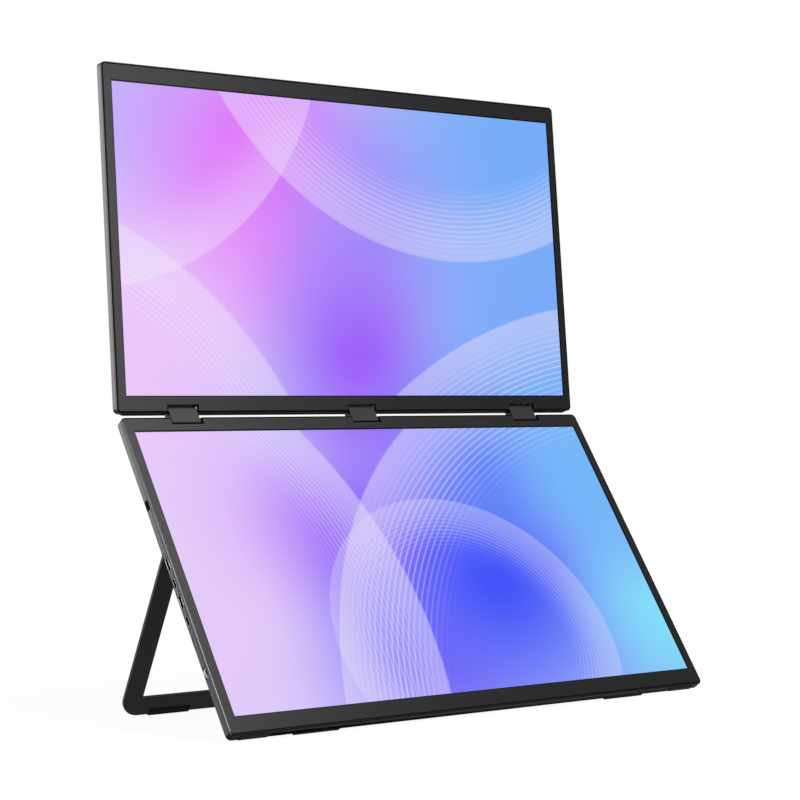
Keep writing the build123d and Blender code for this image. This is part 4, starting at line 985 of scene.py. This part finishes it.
def trim_of(node, finishes):
    """The further finishes of a piece, each with the test that says which faces have it.

    Painted shade in dull black on a bezel's rim, a cover's long walls and notches, and all but a link's
    plate;
    metal on a bezel's side walls, and a painted highlight, a light line, along the lower one's.
    """
    panel = panel_of(node)
    across, up, out = panel_frames[panel]
    black = finishes["rim_plastic"]

    def at_side(face):
        return abs(face.center.dot(across)) > half_width - rim_width

    if node.endswith("front_bezel"):
        # Painted shade: every face of the bezel that doesn't look to the front is dull black
        trims = [(black, lambda face: face.normal.dot(out) < front_share)]
        # Painted highlight: the lower bezel's side chamfers are light metal, while the upper one's stay
        # dark
        if panel == "lower":
            trims.append((finishes["cut_edge"], lambda face: at_side(face)
                          and chamfer_share < abs(face.normal.dot(across)) <= side_share))
        trims.append((finishes["case_metal"],
                      lambda face: at_side(face) and abs(face.normal.dot(across)) > side_share))
        return trims
    if node.endswith("back_cover"):
        low, high = panel_edges[panel][1]
        inner = half_width - wall_reach

        def on_wall(face):
            height = face.center.dot(up)
            near_edge = min(height - low, high - height) < wall_reach
            long_wall = abs(face.normal.dot(up)) > long_wall_share
            notch_wall = abs(face.center.dot(across)) < inner
            return near_edge and abs(face.normal.dot(out)) < side_share and (long_wall or notch_wall)

        # Painted shade: the cover's long walls and notch walls are dull black instead of its metal
        return [(black, on_wall)]
    if node in ("hinge_link_left", "hinge_link_middle", "hinge_link_right"):
        plate = face_axes(node)[2]
        # Painted shade: all of the link but its plate is dull black
        return [(black, lambda face: face.normal.dot(plate) < plate_share)]
    return []


def shape_pieces(finishes):
    """Every piece that stands for a plain CAD shape, and the barrels and lips of the hinge side."""
    for node, broad, crisp, large in rounded_nodes:
        mesh = rounded_copy(node, broad, crisp, large)
        finish = finishes[slot_of[node]]
        if node.endswith("front_bezel"):
            finish = bezel_with_shade_line(finish, panel_of(node))
        finish_piece(node + "_rounded", mesh, finish, node, trim=trim_of(node, finishes))
    # The hinge barrels and the notch lips wear the dull black of painted shade
    add_barrels(finishes["rim_plastic"])
    add_notch_lips(finishes["rim_plastic"])
    add_screws(finishes["black_steel"])
    add_wheel(finishes["wheel_metal"])
    tree = contact_tree(finishes["gold"])
    for number in (1, 2):
        for kind, *sizes in socket_kinds:
            add_socket(f"{kind}_{number}", *sizes, finishes, tree)


def make_camera():
    """The camera at the photograph's viewing angle."""
    azimuth, elevation, roll = map(math.radians, (camera_azimuth, camera_elevation, camera_roll))
    back = Vector((math.sin(azimuth) * math.cos(elevation),
                   -math.cos(azimuth) * math.cos(elevation), math.sin(elevation)))
    level = Vector((math.cos(azimuth), math.sin(azimuth), 0))
    upright = back.cross(level)
    right = math.cos(roll) * level + math.sin(roll) * upright
    up = math.cos(roll) * upright - math.sin(roll) * level
    camera = new_object("camera", bpy.data.cameras.new("camera"))
    camera.matrix_world = Matrix((
        (right.x, up.x, back.x, eye.x),
        (right.y, up.y, back.y, eye.y),
        (right.z, up.z, back.z, eye.z),
        (0, 0, 0, 1),
    ))
    camera.data.sensor_fit = "HORIZONTAL"
    camera.data.sensor_width = camera_sensor
    camera.data.lens = camera_lens
    camera.data.clip_start, camera.data.clip_end = camera_reach
    scene.camera = camera


def make_lamps():
    """The soft rectangular lamps, each where the photograph's view mirrors it in the object."""
    for name, place, aim, size, power in lamps:
        lamp = new_object(name, bpy.data.lights.new(name, "AREA"))
        lamp.data.shape = "RECTANGLE"
        lamp.data.size, lamp.data.size_y = size
        lamp.data.energy = power
        lamp.location = place
        lamp.rotation_euler = (Vector(aim) - Vector(place)).to_track_quat("-Z", "Y").to_euler()


def white_for_the_eye(tree, lit, share):
    """Mixes white into a shader for what the camera, metal and glass see of it, by a share."""
    path = add(tree, "ShaderNodeLightPath").outputs
    seen = add(tree, "ShaderNodeMath",
               {0: path["Is Glossy Ray"], 1: path["Is Transmission Ray"]}, operation="MAXIMUM")
    seen = add(tree, "ShaderNodeMath", {0: path["Is Camera Ray"], 1: seen}, operation="MAXIMUM")
    cover = add(tree, "ShaderNodeMath", {0: seen, 1: share}, operation="MULTIPLY")
    white = add(tree, "ShaderNodeEmission", {"Color": srgb("#FFFFFF"), "Strength": 1.0})
    return add(tree, "ShaderNodeMixShader", {0: cover, 1: lit, 2: white})


def make_floor():
    """A pale floor that keeps a faint shadow near the object and is plain white further off."""
    mesh = bpy.data.meshes.new("floor")
    half = floor_half
    mesh.from_pydata(
        [(-half, -half, 0), (half, -half, 0), (half, half, 0), (-half, half, 0)], [], [(0, 1, 2, 3)])
    floor = new_object("floor", mesh)
    material, tree, shader, place = start_material("pale_floor")
    looked_at = add(tree, "ShaderNodeLightPath").outputs["Is Camera Ray"]
    tone = add(tree, "ShaderNodeMix", {0: looked_at, 6: srgb(floor_thrown), 7: srgb(floor_seen)},
               data_type="RGBA")
    tree.links.new(tone.outputs[2], shader.inputs["Base Color"])
    shader.inputs["Roughness"].default_value = floor_roughness
    shader.inputs["Specular IOR Level"].default_value = 0.0
    away = add(tree, "ShaderNodeVectorMath", {0: place}, operation="LENGTH").outputs["Value"]
    share = add(tree, "ShaderNodeMapRange",
                {"Value": away, "From Min": shadow_reach[0], "From Max": shadow_reach[1],
                 "To Min": floor_white, "To Max": 1.0}, interpolation_type="SMOOTHSTEP")
    ground = white_for_the_eye(tree, shader, share)
    tree.links.new(ground.outputs[0], tree.nodes["Material Output"].inputs["Surface"])
    mesh.materials.append(material)


def make_world():
    """An even studio light; the camera, metal and glass see it white."""
    world = bpy.data.worlds.new("studio")
    world.use_nodes = True
    tree = world.node_tree
    tree.nodes.clear()
    soft = add(tree, "ShaderNodeBackground", {"Color": srgb("#FFFFFF"), "Strength": world_light})
    add(tree, "ShaderNodeOutputWorld", {"Surface": white_for_the_eye(tree, soft, 1.0)})
    scene.world = world


scene.view_settings.view_transform = "Standard"
make_camera()
make_floor()
make_world()
make_lamps()
panel_frames = {panel: face_axes(panel + "_screen") for panel in ("lower", "upper")}
panel_edges = {
    panel: [span(panel + "_front_bezel", axis) for axis in axes[:2]]
    for panel, axes in panel_frames.items()
}
half_width = panel_edges["upper"][0][1]
finishes = finish_materials()
dress_nodes(finishes)
shape_pieces(finishes)
